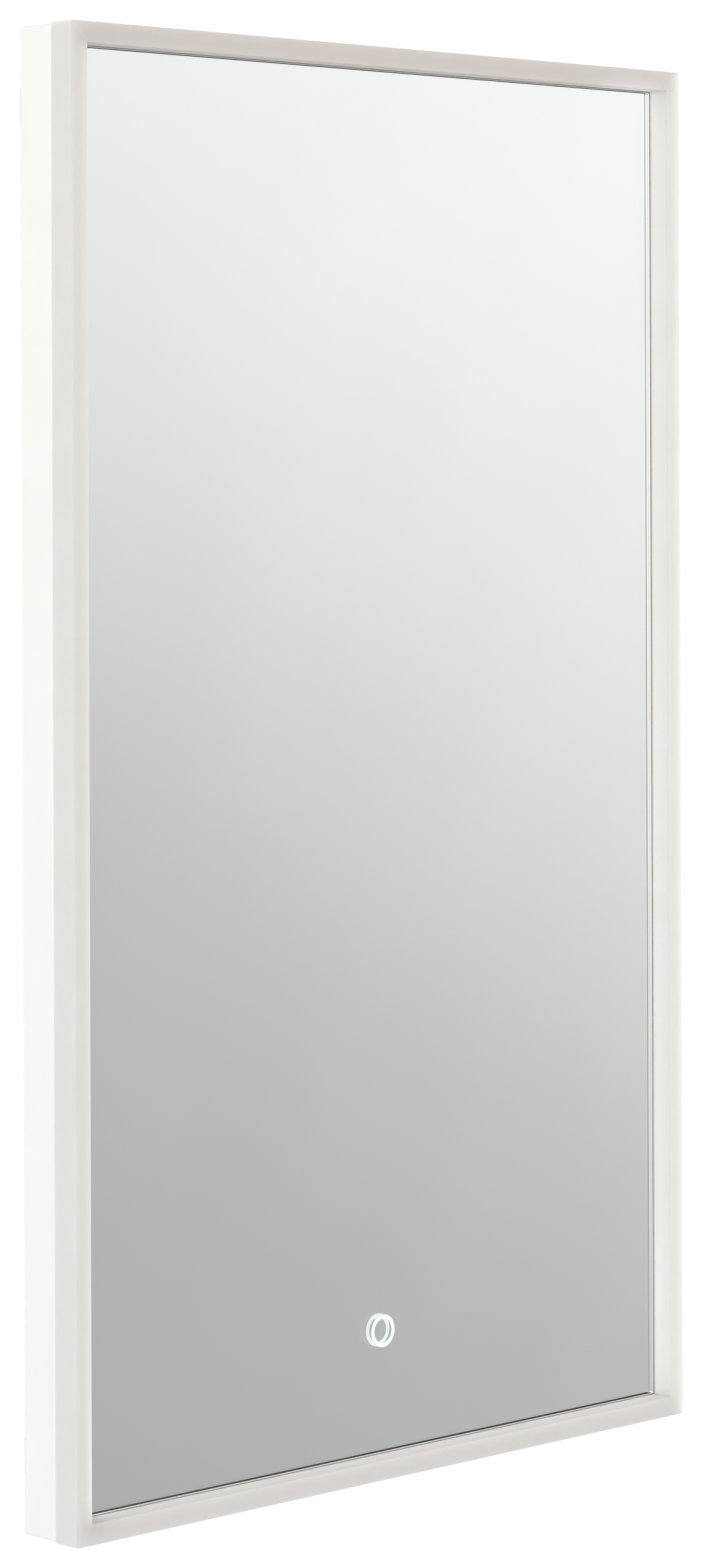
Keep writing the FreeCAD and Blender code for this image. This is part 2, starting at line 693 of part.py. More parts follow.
def service_cover():
    """Sheet cover over the service opening, with the hole for the cable grommet."""
    cover = plate(rectangle(SERVICE_WIDTH + 2 * SERVICE_OVERLAP, SERVICE_HEIGHT + 2 * SERVICE_OVERLAP,
                            PLATE_CORNER_RADIUS, 0, SERVICE_Z), COVER_REAR, PLATE_REAR)
    neck = CABLE_BORE_DIAMETER / 2 + GROMMET_WALL + GROMMET_CLEARANCE
    cuts = [rod(0, grommet_z(), neck, COVER_REAR, PLATE_REAR)]
    cuts += [rod(x, z, HOLE_RADIUS, COVER_REAR, PLATE_REAR) for x, z in cover_screw_places()]
    return cover.cut(cuts)


def service_cover_screws():
    """Screws from behind through the cover into the back plate."""
    length = COVER_THICKNESS + PLATE_THICKNESS + SCREW_TIP
    return [screw(x, z, COVER_REAR, length, -1) for x, z in cover_screw_places()]


def cable_grommet():
    """Rubber grommet, grooved to sit in the cover's sheet."""
    bore = CABLE_BORE_DIAMETER / 2
    neck = bore + GROMMET_WALL
    flange = neck + GROMMET_FLANGE
    rear = COVER_REAR - GROMMET_FLANGE_THICKNESS
    front = PLATE_REAR + GROMMET_FLANGE_THICKNESS
    soft = GROMMET_EDGE_RADIUS
    profile = [(bore, rear), (flange, rear, soft), (flange, COVER_REAR), (neck, COVER_REAR),
               (neck, PLATE_REAR), (flange, PLATE_REAR), (flange, front, soft), (bore, front)]
    return turned(profile, 0, grommet_z())


# Terminal block

def terminal_bracket():
    """Folded bridge across the service opening that carries the terminal block."""
    wall = bracket_wall_x()
    foot = wall + BRACKET_FOOT
    low = PLATE_FRONT + BRACKET_THICKNESS / 2
    high = TERMINAL_FRONT + BRACKET_THICKNESS / 2
    line = [(-foot, low), (-wall, low), (-wall, high), (wall, high), (wall, low), (foot, low)]
    bracket = bent_sheet(line, BRACKET_THICKNESS, BRACKET_BEND,
                         lambda x, depth: Vector(x, -depth, SERVICE_Z - BRACKET_HEIGHT / 2),
                         Vector(0, 0, BRACKET_HEIGHT))
    feet = [rod(x, z, RIVET_HOLE_RADIUS, PLATE_FRONT, PLATE_FRONT + BRACKET_THICKNESS)
            for x, z in bracket_rivet_places()]
    bridge = [rod(x, z, HOLE_RADIUS, TERMINAL_FRONT, TERMINAL_FRONT + BRACKET_THICKNESS)
              for x, z in terminal_fixing_places()]
    return bracket.cut(feet + bridge)


def bracket_rivets():
    """Rivets through the back plate and the bracket's feet."""
    return [rivet(x, z, PLATE_REAR, PLATE_FRONT + BRACKET_THICKNESS) for x, z in bracket_rivet_places()]


def terminal_block():
    """Moulded block with wire ports at both ends of each pole and clamp wells to the opening."""
    outline = rectangle(TERMINAL_WIDTH, TERMINAL_LENGTH, 0, 0, SERVICE_Z)
    block = plate(outline, TERMINAL_REAR, TERMINAL_FRONT)
    cuts = []
    well = CLAMP_SCREW_DIAMETER / 2 + SCREW_CLEARANCE
    well_floor = TERMINAL_REAR + CLAMP_WELL_DEPTH
    port = CORE_DIAMETER / 2 + WIRE_CLEARANCE
    for pole in range(TERMINAL_POLES):
        for end in (-1, 1):
            cuts.append(rod(pole_x(pole), clamp_z(end), well, TERMINAL_REAR, well_floor))
            outer = Vector(pole_x(pole), -port_depth(), SERVICE_Z + end * TERMINAL_LENGTH / 2)
            cuts.append(bar_between(outer, outer - Vector(0, 0, end * TERMINAL_PORT_DEPTH), port))
    sink = SCREW_HEAD_DIAMETER / 2 + SCREW_CLEARANCE
    for x, z in terminal_fixing_places():
        cuts.append(rod(x, z, HOLE_RADIUS, TERMINAL_REAR, TERMINAL_FRONT))
        cuts.append(rod(x, z, sink, TERMINAL_REAR, TERMINAL_REAR + SCREW_HEAD_HEIGHT))
    return block.cut(cuts)


def clamp_z(end):
    """Height of a clamp screw, a quarter of the block in from its end."""
    return SERVICE_Z + end * TERMINAL_LENGTH / 4


def port_depth():
    """Depth of the wire ports, clear in front of the clamp wells."""
    return TERMINAL_REAR + CLAMP_WELL_DEPTH + CORE_DIAMETER / 2 + 2 * WIRE_CLEARANCE


def terminal_clamp_screws():
    """Slotted clamp screws at the bottom of their wells."""
    screws = []
    radius = CLAMP_SCREW_DIAMETER / 2
    near = TERMINAL_REAR + CLAMP_SCREW_SINK
    far = TERMINAL_REAR + CLAMP_WELL_DEPTH
    for pole in range(TERMINAL_POLES):
        for end in (-1, 1):
            x = pole_x(pole)
            z = clamp_z(end)
            outline = rectangle(CLAMP_SCREW_DIAMETER, RECESS_WIDTH, 0, x, z)
            slot = plate(outline, near, near + RECESS_DEPTH)
            screws.append(rod(x, z, radius, near, far).cut(slot))
    return screws


def terminal_fixings():
    """Screws sunk in the block that hold it to the bracket."""
    seat = TERMINAL_REAR + SCREW_HEAD_HEIGHT
    length = TERMINAL_FRONT + BRACKET_THICKNESS - seat + SCREW_TIP_GAP
    return [screw(x, z, seat, length, -1) for x, z in terminal_fixing_places()]


# LED driver

def driver_case():
    """Moulded tray with two ears, four bosses under the board, and ports for the wires."""
    outline = rectangle(DRIVER_LENGTH, DRIVER_WIDTH, DRIVER_CORNER_RADIUS, 0, DRIVER_Z)
    tray = plate(outline, PLATE_FRONT, DRIVER_RIM)
    inner = rectangle(DRIVER_LENGTH - 2 * DRIVER_WALL, DRIVER_WIDTH - 2 * DRIVER_WALL,
                      DRIVER_CORNER_RADIUS - DRIVER_WALL, 0, DRIVER_Z)
    tray = tray.cut(plate(inner, DRIVER_FLOOR, DRIVER_RIM))
    x = DRIVER_LENGTH / 2 - DRIVER_WALL - DRIVER_BOARD_GAP - DRIVER_BOSS_RADIUS
    z = DRIVER_WIDTH / 2 - DRIVER_WALL - DRIVER_BOARD_GAP - DRIVER_BOSS_RADIUS
    added = [rod(sx * x, DRIVER_Z + sz * z, DRIVER_BOSS_RADIUS, DRIVER_FLOOR, DRIVER_BOARD_REAR)
             for sx, sz in CORNERS]
    for end in (-1, 1):
        middle = end * (DRIVER_LENGTH / 2 + DRIVER_EAR_LENGTH / 2)
        added.append(plate(rectangle(DRIVER_EAR_LENGTH, DRIVER_EAR_WIDTH, 0, middle, DRIVER_Z),
                           PLATE_FRONT, PLATE_FRONT + DRIVER_EAR_THICKNESS))
    tray = tray.fuse(added)
    holes = [rod(sx, sz, HOLE_RADIUS, PLATE_FRONT, PLATE_FRONT + DRIVER_EAR_THICKNESS)
             for sx, sz in driver_screw_places()]
    wall = Vector(DRIVER_WALL, 0, 0)
    for port_z in (LED_LEAD_Z, TOUCH_PORT_Z):
        outer = Vector(DRIVER_LENGTH / 2, -LEAD_DEPTH, port_z)
        holes.append(bar_between(outer - wall, outer, LEAD_DIAMETER / 2 + LEAD_HOLE_CLEARANCE))
    for core in range(2):
        outer = Vector(-DRIVER_LENGTH / 2, -port_depth(), core_entry_z(core))
        holes.append(bar_between(outer, outer + wall, CORE_DIAMETER / 2 + WIRE_CLEARANCE))
    return tray.cut(holes).removeSplitter()


def core_entry_z(core):
    """Height at which a supply core enters the driver."""
    return DRIVER_Z + (core - 0.5) * CORE_SPACING


def driver_lid():
    """Flat lid with a lip that fits inside the tray."""
    outline = rectangle(DRIVER_LENGTH, DRIVER_WIDTH, DRIVER_CORNER_RADIUS, 0, DRIVER_Z)
    lid = plate(outline, DRIVER_RIM, DRIVER_LID_FRONT)
    outer_gap = 2 * (DRIVER_WALL + DRIVER_LID_CLEARANCE)
    inner_gap = outer_gap + 2 * DRIVER_WALL
    near = DRIVER_RIM - DRIVER_LID_LIP
    lip = plate(rectangle(DRIVER_LENGTH - outer_gap, DRIVER_WIDTH - outer_gap,
                          DRIVER_CORNER_RADIUS - DRIVER_WALL, 0, DRIVER_Z), near, DRIVER_RIM)
    lip = lip.cut(plate(rectangle(DRIVER_LENGTH - inner_gap, DRIVER_WIDTH - inner_gap, 0, 0, DRIVER_Z),
                        near, DRIVER_RIM))
    return lid.fuse(lip).removeSplitter()


def driver_board_width():
    """Height of the board up the wall, inside the tray."""
    return DRIVER_WIDTH - 2 * (DRIVER_WALL + DRIVER_BOARD_GAP)


def driver_board():
    """Circuit board on the tray's bosses."""
    length = DRIVER_LENGTH - 2 * (DRIVER_WALL + DRIVER_BOARD_GAP)
    outline = rectangle(length, driver_board_width(), 0, 0, DRIVER_Z)
    return plate(outline, DRIVER_BOARD_REAR, DRIVER_BOARD_FRONT)


def driver_parts():
    """Transformer, choke and two capacitors that stand on the board."""
    top = DRIVER_RIM - DRIVER_LID_LIP - DRIVER_PART_HEADROOM
    blocks = [rectangle(TRANSFORMER_LENGTH, TRANSFORMER_WIDTH, DRIVER_PART_RADIUS, 0, DRIVER_Z),
              rectangle(CHOKE_SIZE, CHOKE_SIZE, DRIVER_PART_RADIUS, -DRIVER_PART_OFFSET, DRIVER_Z)]
    parts = [plate(block, DRIVER_BOARD_FRONT, top) for block in blocks]
    radius = CAPACITOR_DIAMETER / 2
    row = driver_board_width() / 2 - DRIVER_PART_MARGIN - radius
    for side in (-1, 1):
        parts.append(rod(DRIVER_PART_OFFSET, DRIVER_Z + side * row, radius, DRIVER_BOARD_FRONT, top))
    return parts


def driver_screws():
    """Screws from behind through the back plate into the driver's ears."""
    length = PLATE_THICKNESS + DRIVER_EAR_THICKNESS
    return [screw(x, z, PLATE_REAR, length, -1) for x, z in driver_screw_places()]


# Inner wiring

def supply_wires():
    """Two cores from the terminal block round to the driver's left-hand end."""
    cores = []
    bottom = SERVICE_Z - TERMINAL_LENGTH / 2
    depth = -port_depth()
    turn_z = (SERVICE_Z - TERMINAL_LENGTH / 2 + DRIVER_Z + DRIVER_WIDTH / 2) / 2
    turn_x = -DRIVER_LENGTH / 2 - DRIVER_EAR_LENGTH - 2 * CORE_BEND_RADIUS
    for core, pole in enumerate((0, TERMINAL_POLES - 1)):
        x = pole_x(pole)
        across_z = turn_z + (0.5 - core) * CORE_SPACING
        down_x = turn_x + core * CORE_SPACING
        entry = core_entry_z(core)
        route = [Vector(x, depth, bottom + TERMINAL_PORT_DEPTH - WIRE_CLEARANCE),
                 Vector(x, depth, across_z),
                 Vector(down_x, depth, across_z),
                 Vector(down_x, depth, entry),
                 Vector(-DRIVER_LENGTH / 2 + DRIVER_LEAD_ENTRY, depth, entry)]
        cores.append(tube(route, CORE_DIAMETER, CORE_BEND_RADIUS))
    return cores


def led_lead_route():
    """From the driver straight across into the channel of the right-hand rail."""
    start = Vector(DRIVER_LENGTH / 2 - DRIVER_LEAD_ENTRY, -LEAD_DEPTH, LED_LEAD_Z)
    end = Vector(CHASSIS_WIDTH / 2 - CHASSIS_WALL - CHANNEL_WIDTH / 2, -LEAD_DEPTH, LED_LEAD_Z)
    return [start, end]


def touch_lead_route():
    """From the driver down beside it and back across to the touch sensor."""
    x = DRIVER_LENGTH / 2 + TOUCH_LEAD_REACH
    return [Vector(DRIVER_LENGTH / 2 - DRIVER_LEAD_ENTRY, -LEAD_DEPTH, TOUCH_PORT_Z),
            Vector(x, -LEAD_DEPTH, TOUCH_PORT_Z),
            Vector(x, -LEAD_DEPTH, RING_Z),
            Vector(SENSOR_SIZE / 2 - SENSOR_WALL - TOUCH_LEAD_ENTRY, -LEAD_DEPTH, RING_Z)]


def lead_clips():
    """Moulded posts on the back plate that hold the two leads."""
    led = led_lead_route()
    touch = touch_lead_route()
    clips = []
    for start, end in ((led[0], led[1]), (touch[1], touch[2])):
        run = end - start
        count = max(int(run.Length / CLIP_SPACING), 1)
        for i in range(count):
            middle = start + run * ((i + 0.5) / count)
            clips.append(lead_clip(middle, run))
    return clips


def lead_clip(middle, run):
    """One clip: a post with a bore along the lead."""
    bore = LEAD_DIAMETER / 2 + WIRE_CLEARANCE
    wide = 2 * (bore + CLIP_WALL)
    level = abs(run.x) > abs(run.z)
    width = CLIP_LENGTH if level else wide
    height = wide if level else CLIP_LENGTH
    outline = rectangle(width, height, 0, middle.x, middle.z)
    post = plate(outline, PLATE_FRONT, LEAD_DEPTH + bore + CLIP_WALL)
    half = Vector(run)
    half.normalize()
    half = half * (CLIP_LENGTH / 2)
    return post.cut(bar_between(middle - half, middle + half, bore))


# Light strips

def strip_length(side):
    """Length of a strip, short of the chassis's corners."""
    return side_lengths(side, CHASSIS_WIDTH, CHASSIS_HEIGHT)[0] - 2 * STRIP_CORNER_GAP


def led_strip(side):
    """Strip board on the floor of the light channel."""
    inset = CHASSIS_WALL + STRIP_SIDE_CLEARANCE
    width = CHANNEL_WIDTH - 2 * STRIP_SIDE_CLEARANCE
    return side_box(side, strip_length(side), inset, width, SHELF_FRONT, STRIP_FRONT)


def led_chips():
    """Emitters along the four strips, an even number on each."""
    chips = []
    inset = CHASSIS_WALL + CHANNEL_WIDTH / 2 - CHIP_WIDTH / 2
    front = STRIP_FRONT + CHIP_HEIGHT
    for side in SIDES:
        half_count = int((strip_length(side) / 2 - CHIP_END_MARGIN) / CHIP_PITCH + 0.5)
        for i in range(2 * half_count):
            along = (i + 0.5 - half_count) * CHIP_PITCH
            chips.append(side_box(side, CHIP_LENGTH, inset, CHIP_WIDTH, STRIP_FRONT, front, along))
    return chips


def strip_jumpers():
    """Wires that carry the supply from strip to strip round three of the corners."""
    jumpers = []
    line = CHASSIS_WALL + CHANNEL_WIDTH / 2
    reach = STRIP_CORNER_GAP + JUMPER_OVERLAP
    depth = -(STRIP_FRONT + WIRE_CLEARANCE + JUMPER_DIAMETER / 2)
    for corner in CORNERS[1:]:
        route = []
        for a, b in ((reach, line), (line, line), (line, reach)):
            x, z = corner_point(corner, a, b)
            route.append(Vector(x, depth, z))
        jumpers.append(tube(route, JUMPER_DIAMETER, (reach - line) / 2))
    return jumpers


# Acrylic frame, pane and touch switch

def diffuser_bar(side):
    """Mitred acrylic bar with a tongue that drops into the light channel."""
    tongue_outer = DIFFUSER_OVERHANG + CHASSIS_WALL + TONGUE_SIDE_CLEARANCE
    tongue_inner = DIFFUSER_OVERHANG + CHANNEL_INNER - TONGUE_SIDE_CLEARANCE
    section = [
        (0, CHASSIS_FRONT, DIFFUSER_EDGE_RADIUS / 2),
        (tongue_outer, CHASSIS_FRONT),
        (tongue_outer, TONGUE_END),
        (tongue_inner, TONGUE_END),
        (tongue_inner, CHASSIS_FRONT),
        (DIFFUSER_WIDTH, CHASSIS_FRONT),
        (DIFFUSER_WIDTH, FRAME_FRONT, DIFFUSER_EDGE_RADIUS),
        (0, FRAME_FRONT, DIFFUSER_EDGE_RADIUS),
    ]
    return mitred_bar(side, FRAME_WIDTH, FRAME_HEIGHT, section, FRAME_CORNER_RADIUS)


def rim_edges(shape, depth):
    """Edges of a sheet's rim at one of its two depths."""
    return [edge for edge in shape.Edges
            if edge.BoundBox.YLength < TINY and abs(edge.CenterOfMass.y + depth) < TINY]


def mirror_glass():
    """Clear pane with its edges eased all round, more at the front than at the back."""
    pane = centred_sheet(GLASS_WIDTH, GLASS_HEIGHT, GLASS_CORNER_RADIUS, GLASS_BACK, GLASS_FRONT)
    pane = pane.makeChamfer(GLASS_FRONT_ARRIS, rim_edges(pane, GLASS_FRONT))
    return pane.makeChamfer(GLASS_REAR_ARRIS, rim_edges(pane, GLASS_BACK))


def silver_coat():
    """Silver and its paint on the back of the pane, out to the eased edge."""
    inset = 2 * GLASS_REAR_ARRIS
    return centred_sheet(GLASS_WIDTH - inset, GLASS_HEIGHT - inset,
                         GLASS_CORNER_RADIUS - GLASS_REAR_ARRIS, SILVER_BACK, GLASS_BACK)


def mirror_tape(side):
    """Foam tape between the chassis flange and the back of the pane."""
    inset = GLASS_INSET - DIFFUSER_OVERHANG + TAPE_INSET
    length = side_lengths(side, CHASSIS_WIDTH, CHASSIS_HEIGHT)[0] - 2 * inset
    if side in ("left", "right"):
        length -= 2 * TAPE_WIDTH
    return side_box(side, length, inset, TAPE_WIDTH, FLANGE_FRONT, SILVER_BACK)


def safety_film():
    """Film on the back of the pane, inside the flange, with a window for the touch sensor."""
    inset = 2 * (FLANGE_EDGE + FILM_GAP)
    film = centred_sheet(CHASSIS_WIDTH - inset, CHASSIS_HEIGHT - inset, 0, FILM_BACK, SILVER_BACK)
    size = SENSOR_SIZE + 2 * FILM_GAP
    window = rectangle(size, size, SENSOR_CORNER_RADIUS, 0, RING_Z)
    return film.cut(plate(window, FILM_BACK, SILVER_BACK))


def touch_ring():
    """White ring on the front of the pane that marks the switch."""
    outer = RING_OUTER_DIAMETER / 2
    front = GLASS_FRONT + RING_THICKNESS
    disc = rod(0, RING_Z, outer, GLASS_FRONT, front)
    return disc.cut(rod(0, RING_Z, outer - RING_STROKE, GLASS_FRONT, front))


def touch_sensor_case():
    """Moulded cup glued to the back of the pane behind the ring."""
    rear = SILVER_BACK - SENSOR_DEPTH
    inner = SENSOR_SIZE - 2 * SENSOR_WALL
    cup = plate(rectangle(SENSOR_SIZE, SENSOR_SIZE, SENSOR_CORNER_RADIUS, 0, RING_Z), rear, SILVER_BACK)
    hollow = plate(rectangle(inner, inner, SENSOR_CORNER_RADIUS - SENSOR_WALL, 0, RING_Z),
                   rear + SENSOR_WALL, SILVER_BACK)
    outer = Vector(SENSOR_SIZE / 2, -LEAD_DEPTH, RING_Z)
    port = bar_between(outer - Vector(SENSOR_WALL, 0, 0), outer, LEAD_DIAMETER / 2 + LEAD_HOLE_CLEARANCE)
    return cup.cut([hollow, port])


def touch_sensor_board():
    """Sensor board in the cup, flat against the back of the pane."""
    size = SENSOR_SIZE - 2 * (SENSOR_WALL + SENSOR_BOARD_CLEARANCE)
    radius = SENSOR_CORNER_RADIUS - SENSOR_WALL
    return plate(rectangle(size, size, radius, 0, RING_Z), SILVER_BACK - BOARD_THICKNESS, SILVER_BACK)


# All pieces, each written to its own file

def all_pieces():
    """Every piece by name. A group of like pieces is a list of solids."""
    pieces = {
        "wall_rail": wall_rail(),
        "hanger_rail": hanger_rail(),
        "hanger_rivets": hanger_rivets(),
        "wall_pads": wall_pads(),
        "corner_key_screws": corner_key_screws(),
        "back_plate": back_plate(),
        "back_plate_screws": back_plate_screws(),
        "service_cover": service_cover(),
        "service_cover_screws": service_cover_screws(),
        "cable_grommet": cable_grommet(),
        "terminal_bracket": terminal_bracket(),
        "bracket_rivets": bracket_rivets(),
        "terminal_block": terminal_block(),
        "terminal_fixings": terminal_fixings(),
        "terminal_clamp_screws": terminal_clamp_screws(),
        "driver_case": driver_case(),
        "driver_lid": driver_lid(),
        "driver_board": driver_board(),
        "driver_parts": driver_parts(),
        "driver_screws": driver_screws(),
        "supply_wires": supply_wires(),
        "led_lead": tube(led_lead_route(), LEAD_DIAMETER, LEAD_BEND_RADIUS),
        "touch_lead": tube(touch_lead_route(), LEAD_DIAMETER, LEAD_BEND_RADIUS),
        "lead_clips": lead_clips(),
        "led_chips": led_chips(),
        "strip_jumpers": strip_jumpers(),
        "mirror_glass": mirror_glass(),
        "silver_coat": silver_coat(),
        "safety_film": safety_film(),
        "touch_ring": touch_ring(),
        "touch_sensor_case": touch_sensor_case(),
        "touch_sensor_board": touch_sensor_board(),
    }
    for side in SIDES:
        pieces["chassis_rail_" + side] = chassis_rail(side)
        pieces["led_strip_" + side] = led_strip(side)
        pieces["diffuser_bar_" + side] = diffuser_bar(side)
        pieces["mirror_tape_" + side] = mirror_tape(side)
    for number, corner in enumerate(CORNERS, 1):
        pieces["corner_key_" + str(number)] = corner_key(corner)
    return pieces


os.makedirs("parts", exist_ok=True)
for name, shape in all_pieces().items():
    if isinstance(shape, list):
        shape = Part.makeCompound(shape)
    print(name, len(shape.Solids), "solids, valid", shape.isValid(), "volume", round(shape.Volume, 1))
    shape.exportStep("parts/" + name + ".step")
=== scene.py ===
import math

import bmesh
import bpy
from mathutils import Matrix, Vector


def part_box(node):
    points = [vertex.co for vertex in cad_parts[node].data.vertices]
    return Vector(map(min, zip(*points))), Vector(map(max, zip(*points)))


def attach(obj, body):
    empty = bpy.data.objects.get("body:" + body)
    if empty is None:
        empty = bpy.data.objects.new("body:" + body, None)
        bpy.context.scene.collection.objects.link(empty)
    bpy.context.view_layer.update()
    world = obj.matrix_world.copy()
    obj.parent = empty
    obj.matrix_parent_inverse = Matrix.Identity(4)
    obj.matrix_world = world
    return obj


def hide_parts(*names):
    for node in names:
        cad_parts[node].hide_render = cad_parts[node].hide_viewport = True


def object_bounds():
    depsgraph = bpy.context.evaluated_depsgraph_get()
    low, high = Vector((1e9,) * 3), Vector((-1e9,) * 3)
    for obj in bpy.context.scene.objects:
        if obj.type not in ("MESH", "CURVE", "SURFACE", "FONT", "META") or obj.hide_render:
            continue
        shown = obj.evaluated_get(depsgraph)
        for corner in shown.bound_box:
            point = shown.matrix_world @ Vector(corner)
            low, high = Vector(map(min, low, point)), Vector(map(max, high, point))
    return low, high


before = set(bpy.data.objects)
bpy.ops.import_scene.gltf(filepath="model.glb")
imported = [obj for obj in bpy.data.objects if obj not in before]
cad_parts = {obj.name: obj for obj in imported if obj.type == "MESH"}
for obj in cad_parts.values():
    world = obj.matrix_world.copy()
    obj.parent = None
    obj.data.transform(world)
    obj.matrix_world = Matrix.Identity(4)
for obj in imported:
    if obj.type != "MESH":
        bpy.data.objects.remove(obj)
cad_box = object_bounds()


# Chassis rails: four aluminium extrusions, mitred at the corners and held by angle plates inside.
# They are sprayed with a warm white powder that is baked on, which leaves a satin skin with a
# faint orange peel.
SIDES = ("bottom", "left", "top", "right")
COAT_WHITES = ((0.920, 0.920, 0.903, 1), (0.940, 0.940, 0.925, 1))
COAT_CLOUD = 0.060
COAT_PEEL = 0.0012
COAT_PEEL_DEPTH = 0.000012
COAT_ROUGHNESS = (0.42, 0.50)
NOISE_SPAN = (0.3, 0.7)


def start_finish(name):
    """A new finish, its node tree and its shader."""
    finish = bpy.data.materials.new(name)
    finish.use_nodes = True
    return finish, finish.node_tree, finish.node_tree.nodes["Principled BSDF"]


def feed(tree, node, inputs):
    """Fills a node's inputs: a socket is linked, anything else is the input's own value."""
    for name, value in inputs.items():
        if isinstance(value, bpy.types.NodeSocket):
            tree.links.new(value, node.inputs[name])
        else:
            node.inputs[name].default_value = value


def add_node(tree, kind, inputs, **settings):
    """Adds one node with its settings and inputs."""
    node = tree.nodes.new(kind)
    for name, value in settings.items():
        setattr(node, name, value)
    feed(tree, node, inputs)
    return node


def place_on_piece(tree):
    """Position in metres, fixed to the piece."""
    return add_node(tree, "ShaderNodeTexCoord", {}).outputs["Object"]


def mottle(tree, patch, detail=2.0):
    """Soft noise with patches of about that size in metres."""
    inputs = {"Vector": place_on_piece(tree), "Scale": 1 / patch, "Detail": detail}
    return add_node(tree, "ShaderNodeTexNoise", inputs).outputs["Fac"]


def shades(tree, pattern, colours, low=0.35, high=0.65):
    """Colours a pattern with the first colour at its low end and the second at its high end."""
    ramp = add_node(tree, "ShaderNodeValToRGB", {"Fac": pattern})
    for stop, position, colour in zip(ramp.color_ramp.elements, (low, high), colours):
        stop.position = position
        stop.color = colour
    return ramp.outputs["Color"]


def spread(tree, pattern, limits, span=NOISE_SPAN, **settings):
    """Turns a pattern into a number that runs between two limits while the pattern runs its span."""
    inputs = {
        "Value": pattern,
        "From Min": span[0],
        "From Max": span[1],
        "To Min": limits[0],
        "To Max": limits[1],
    }
    return add_node(tree, "ShaderNodeMapRange", inputs, **settings).outputs["Result"]


def relief(tree, pattern, depth):
    """Raises the skin by a pattern, depth metres from its lowest to its highest."""
    inputs = {"Height": pattern, "Distance": depth, "Strength": 1.0}
    return add_node(tree, "ShaderNodeBump", inputs).outputs["Normal"]


def dress(slot, finish, *names):
    """Gives CAD pieces their finish. The slot is not used."""
    for name in names:
        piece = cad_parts[name]
        piece.data.materials.clear()
        piece.data.materials.append(finish)


white_coat, tree, shader = start_finish("white powder coat")
cloud = mottle(tree, COAT_CLOUD)
peel = mottle(tree, COAT_PEEL)
feed(tree, shader, {
    "Base Color": shades(tree, cloud, COAT_WHITES),
    "Roughness": spread(tree, peel, COAT_ROUGHNESS),
    "Normal": relief(tree, peel, COAT_PEEL_DEPTH),
})
dress("white_coat", white_coat, *[f"chassis_rail_{side}" for side in SIDES])


# Corner keys, back plate, service cover, terminal bracket and the two halves of the hook rail:
# blanks punched and pressed from galvanised steel. The zinc shows as flat crystals of slightly
# different greys, each with its own gloss.
ZINC_GREYS = ((0.55, 0.56, 0.57, 1), (0.67, 0.68, 0.69, 1))
ZINC_CRYSTAL = 0.011
ZINC_CRYSTAL_BEND = 0.35
ZINC_GRAIN = 0.0008
ZINC_GRAIN_DEPTH = 0.000006
ZINC_ROUGHNESS = (0.34, 0.50)
SHEET_SHIFT = 1.7
SHEET_TONES = {
    "back_plate": 1.00,
    "service_cover": 0.88,
    "hanger_rail": 0.96,
    "wall_rail": 0.90,
    "terminal_bracket": 0.94,
    **{f"corner_key_{number}": 0.97 for number in range(1, 5)},
}


def vector_step(tree, operation, *vectors, output="Vector"):
    """One step of arithmetic on vectors."""
    inputs = dict(enumerate(vectors))
    return add_node(tree, "ShaderNodeVectorMath", inputs, operation=operation).outputs[output]


def toned(colour, gain):
    """A colour with its three channels multiplied by a gain."""
    return [channel * gain for channel in colour[:3]] + [1]


def galvanised(name, tone, shift):
    """Zinc-coated sheet of one tone, with crystals of its own."""
    finish, tree, shader = start_finish(f"galvanised {name}")
    place = vector_step(tree, "ADD", place_on_piece(tree), (shift, shift, shift))
    swirl = add_node(tree, "ShaderNodeTexNoise", {"Vector": place, "Scale": 1 / ZINC_CRYSTAL})
    bend = (ZINC_CRYSTAL * ZINC_CRYSTAL_BEND,) * 3
    bent = vector_step(tree, "MULTIPLY_ADD", swirl.outputs["Color"], bend, place)
    crystals = add_node(tree, "ShaderNodeTexVoronoi", {"Vector": bent, "Scale": 1 / ZINC_CRYSTAL})
    channels = add_node(tree, "ShaderNodeSeparateColor", {"Color": crystals.outputs["Color"]})
    crystal = channels.outputs["Red"]
    greys = [toned(grey, tone) for grey in ZINC_GREYS]
    feed(tree, shader, {
        "Base Color": shades(tree, crystal, greys, 0.0, 1.0),
        "Metallic": 1.0,
        "Roughness": spread(tree, crystal, ZINC_ROUGHNESS, (0.0, 1.0)),
        "Normal": relief(tree, mottle(tree, ZINC_GRAIN), ZINC_GRAIN_DEPTH),
    })
    return finish


for number, (name, tone) in enumerate(SHEET_TONES.items()):
    dress("galvanised_sheet", galvanised(name, tone, number * SHEET_SHIFT), name)


# Screws: self-tapping pan heads with a cross recess, zinc plated bright, with the faint blue of the
# dip that seals them.
SCREW_GREYS = ((0.60, 0.61, 0.64, 1), (0.74, 0.75, 0.77, 1))
SCREW_MARK = 0.0007
SCREW_ROUGHNESS = (0.24, 0.38)
MARK_DETAIL = 3.0


def marked_metal(name, colours, mark, roughness):
    """Bright metal between two shades, with fine marks of that size."""
    finish, tree, shader = start_finish(name)
    marks = mottle(tree, mark, MARK_DETAIL)
    feed(tree, shader, {
        "Base Color": shades(tree, marks, colours),
        "Metallic": 1.0,
        "Roughness": spread(tree, marks, roughness),
    })
    return finish


bright_zinc = marked_metal("bright zinc", SCREW_GREYS, SCREW_MARK, SCREW_ROUGHNESS)
dress("zinc_screw", bright_zinc, "corner_key_screws", "back_plate_screws", "service_cover_screws",
      "driver_screws", "terminal_fixings")


# Rivets: blind rivets of bare aluminium that hold the hook rail and the terminal bracket. They are
# a little dull, with fine marks from the setting tool.
RIVET_GREYS = ((0.66, 0.66, 0.66, 1), (0.80, 0.80, 0.80, 1))
RIVET_MARK = 0.0006
RIVET_ROUGHNESS = (0.32, 0.48)

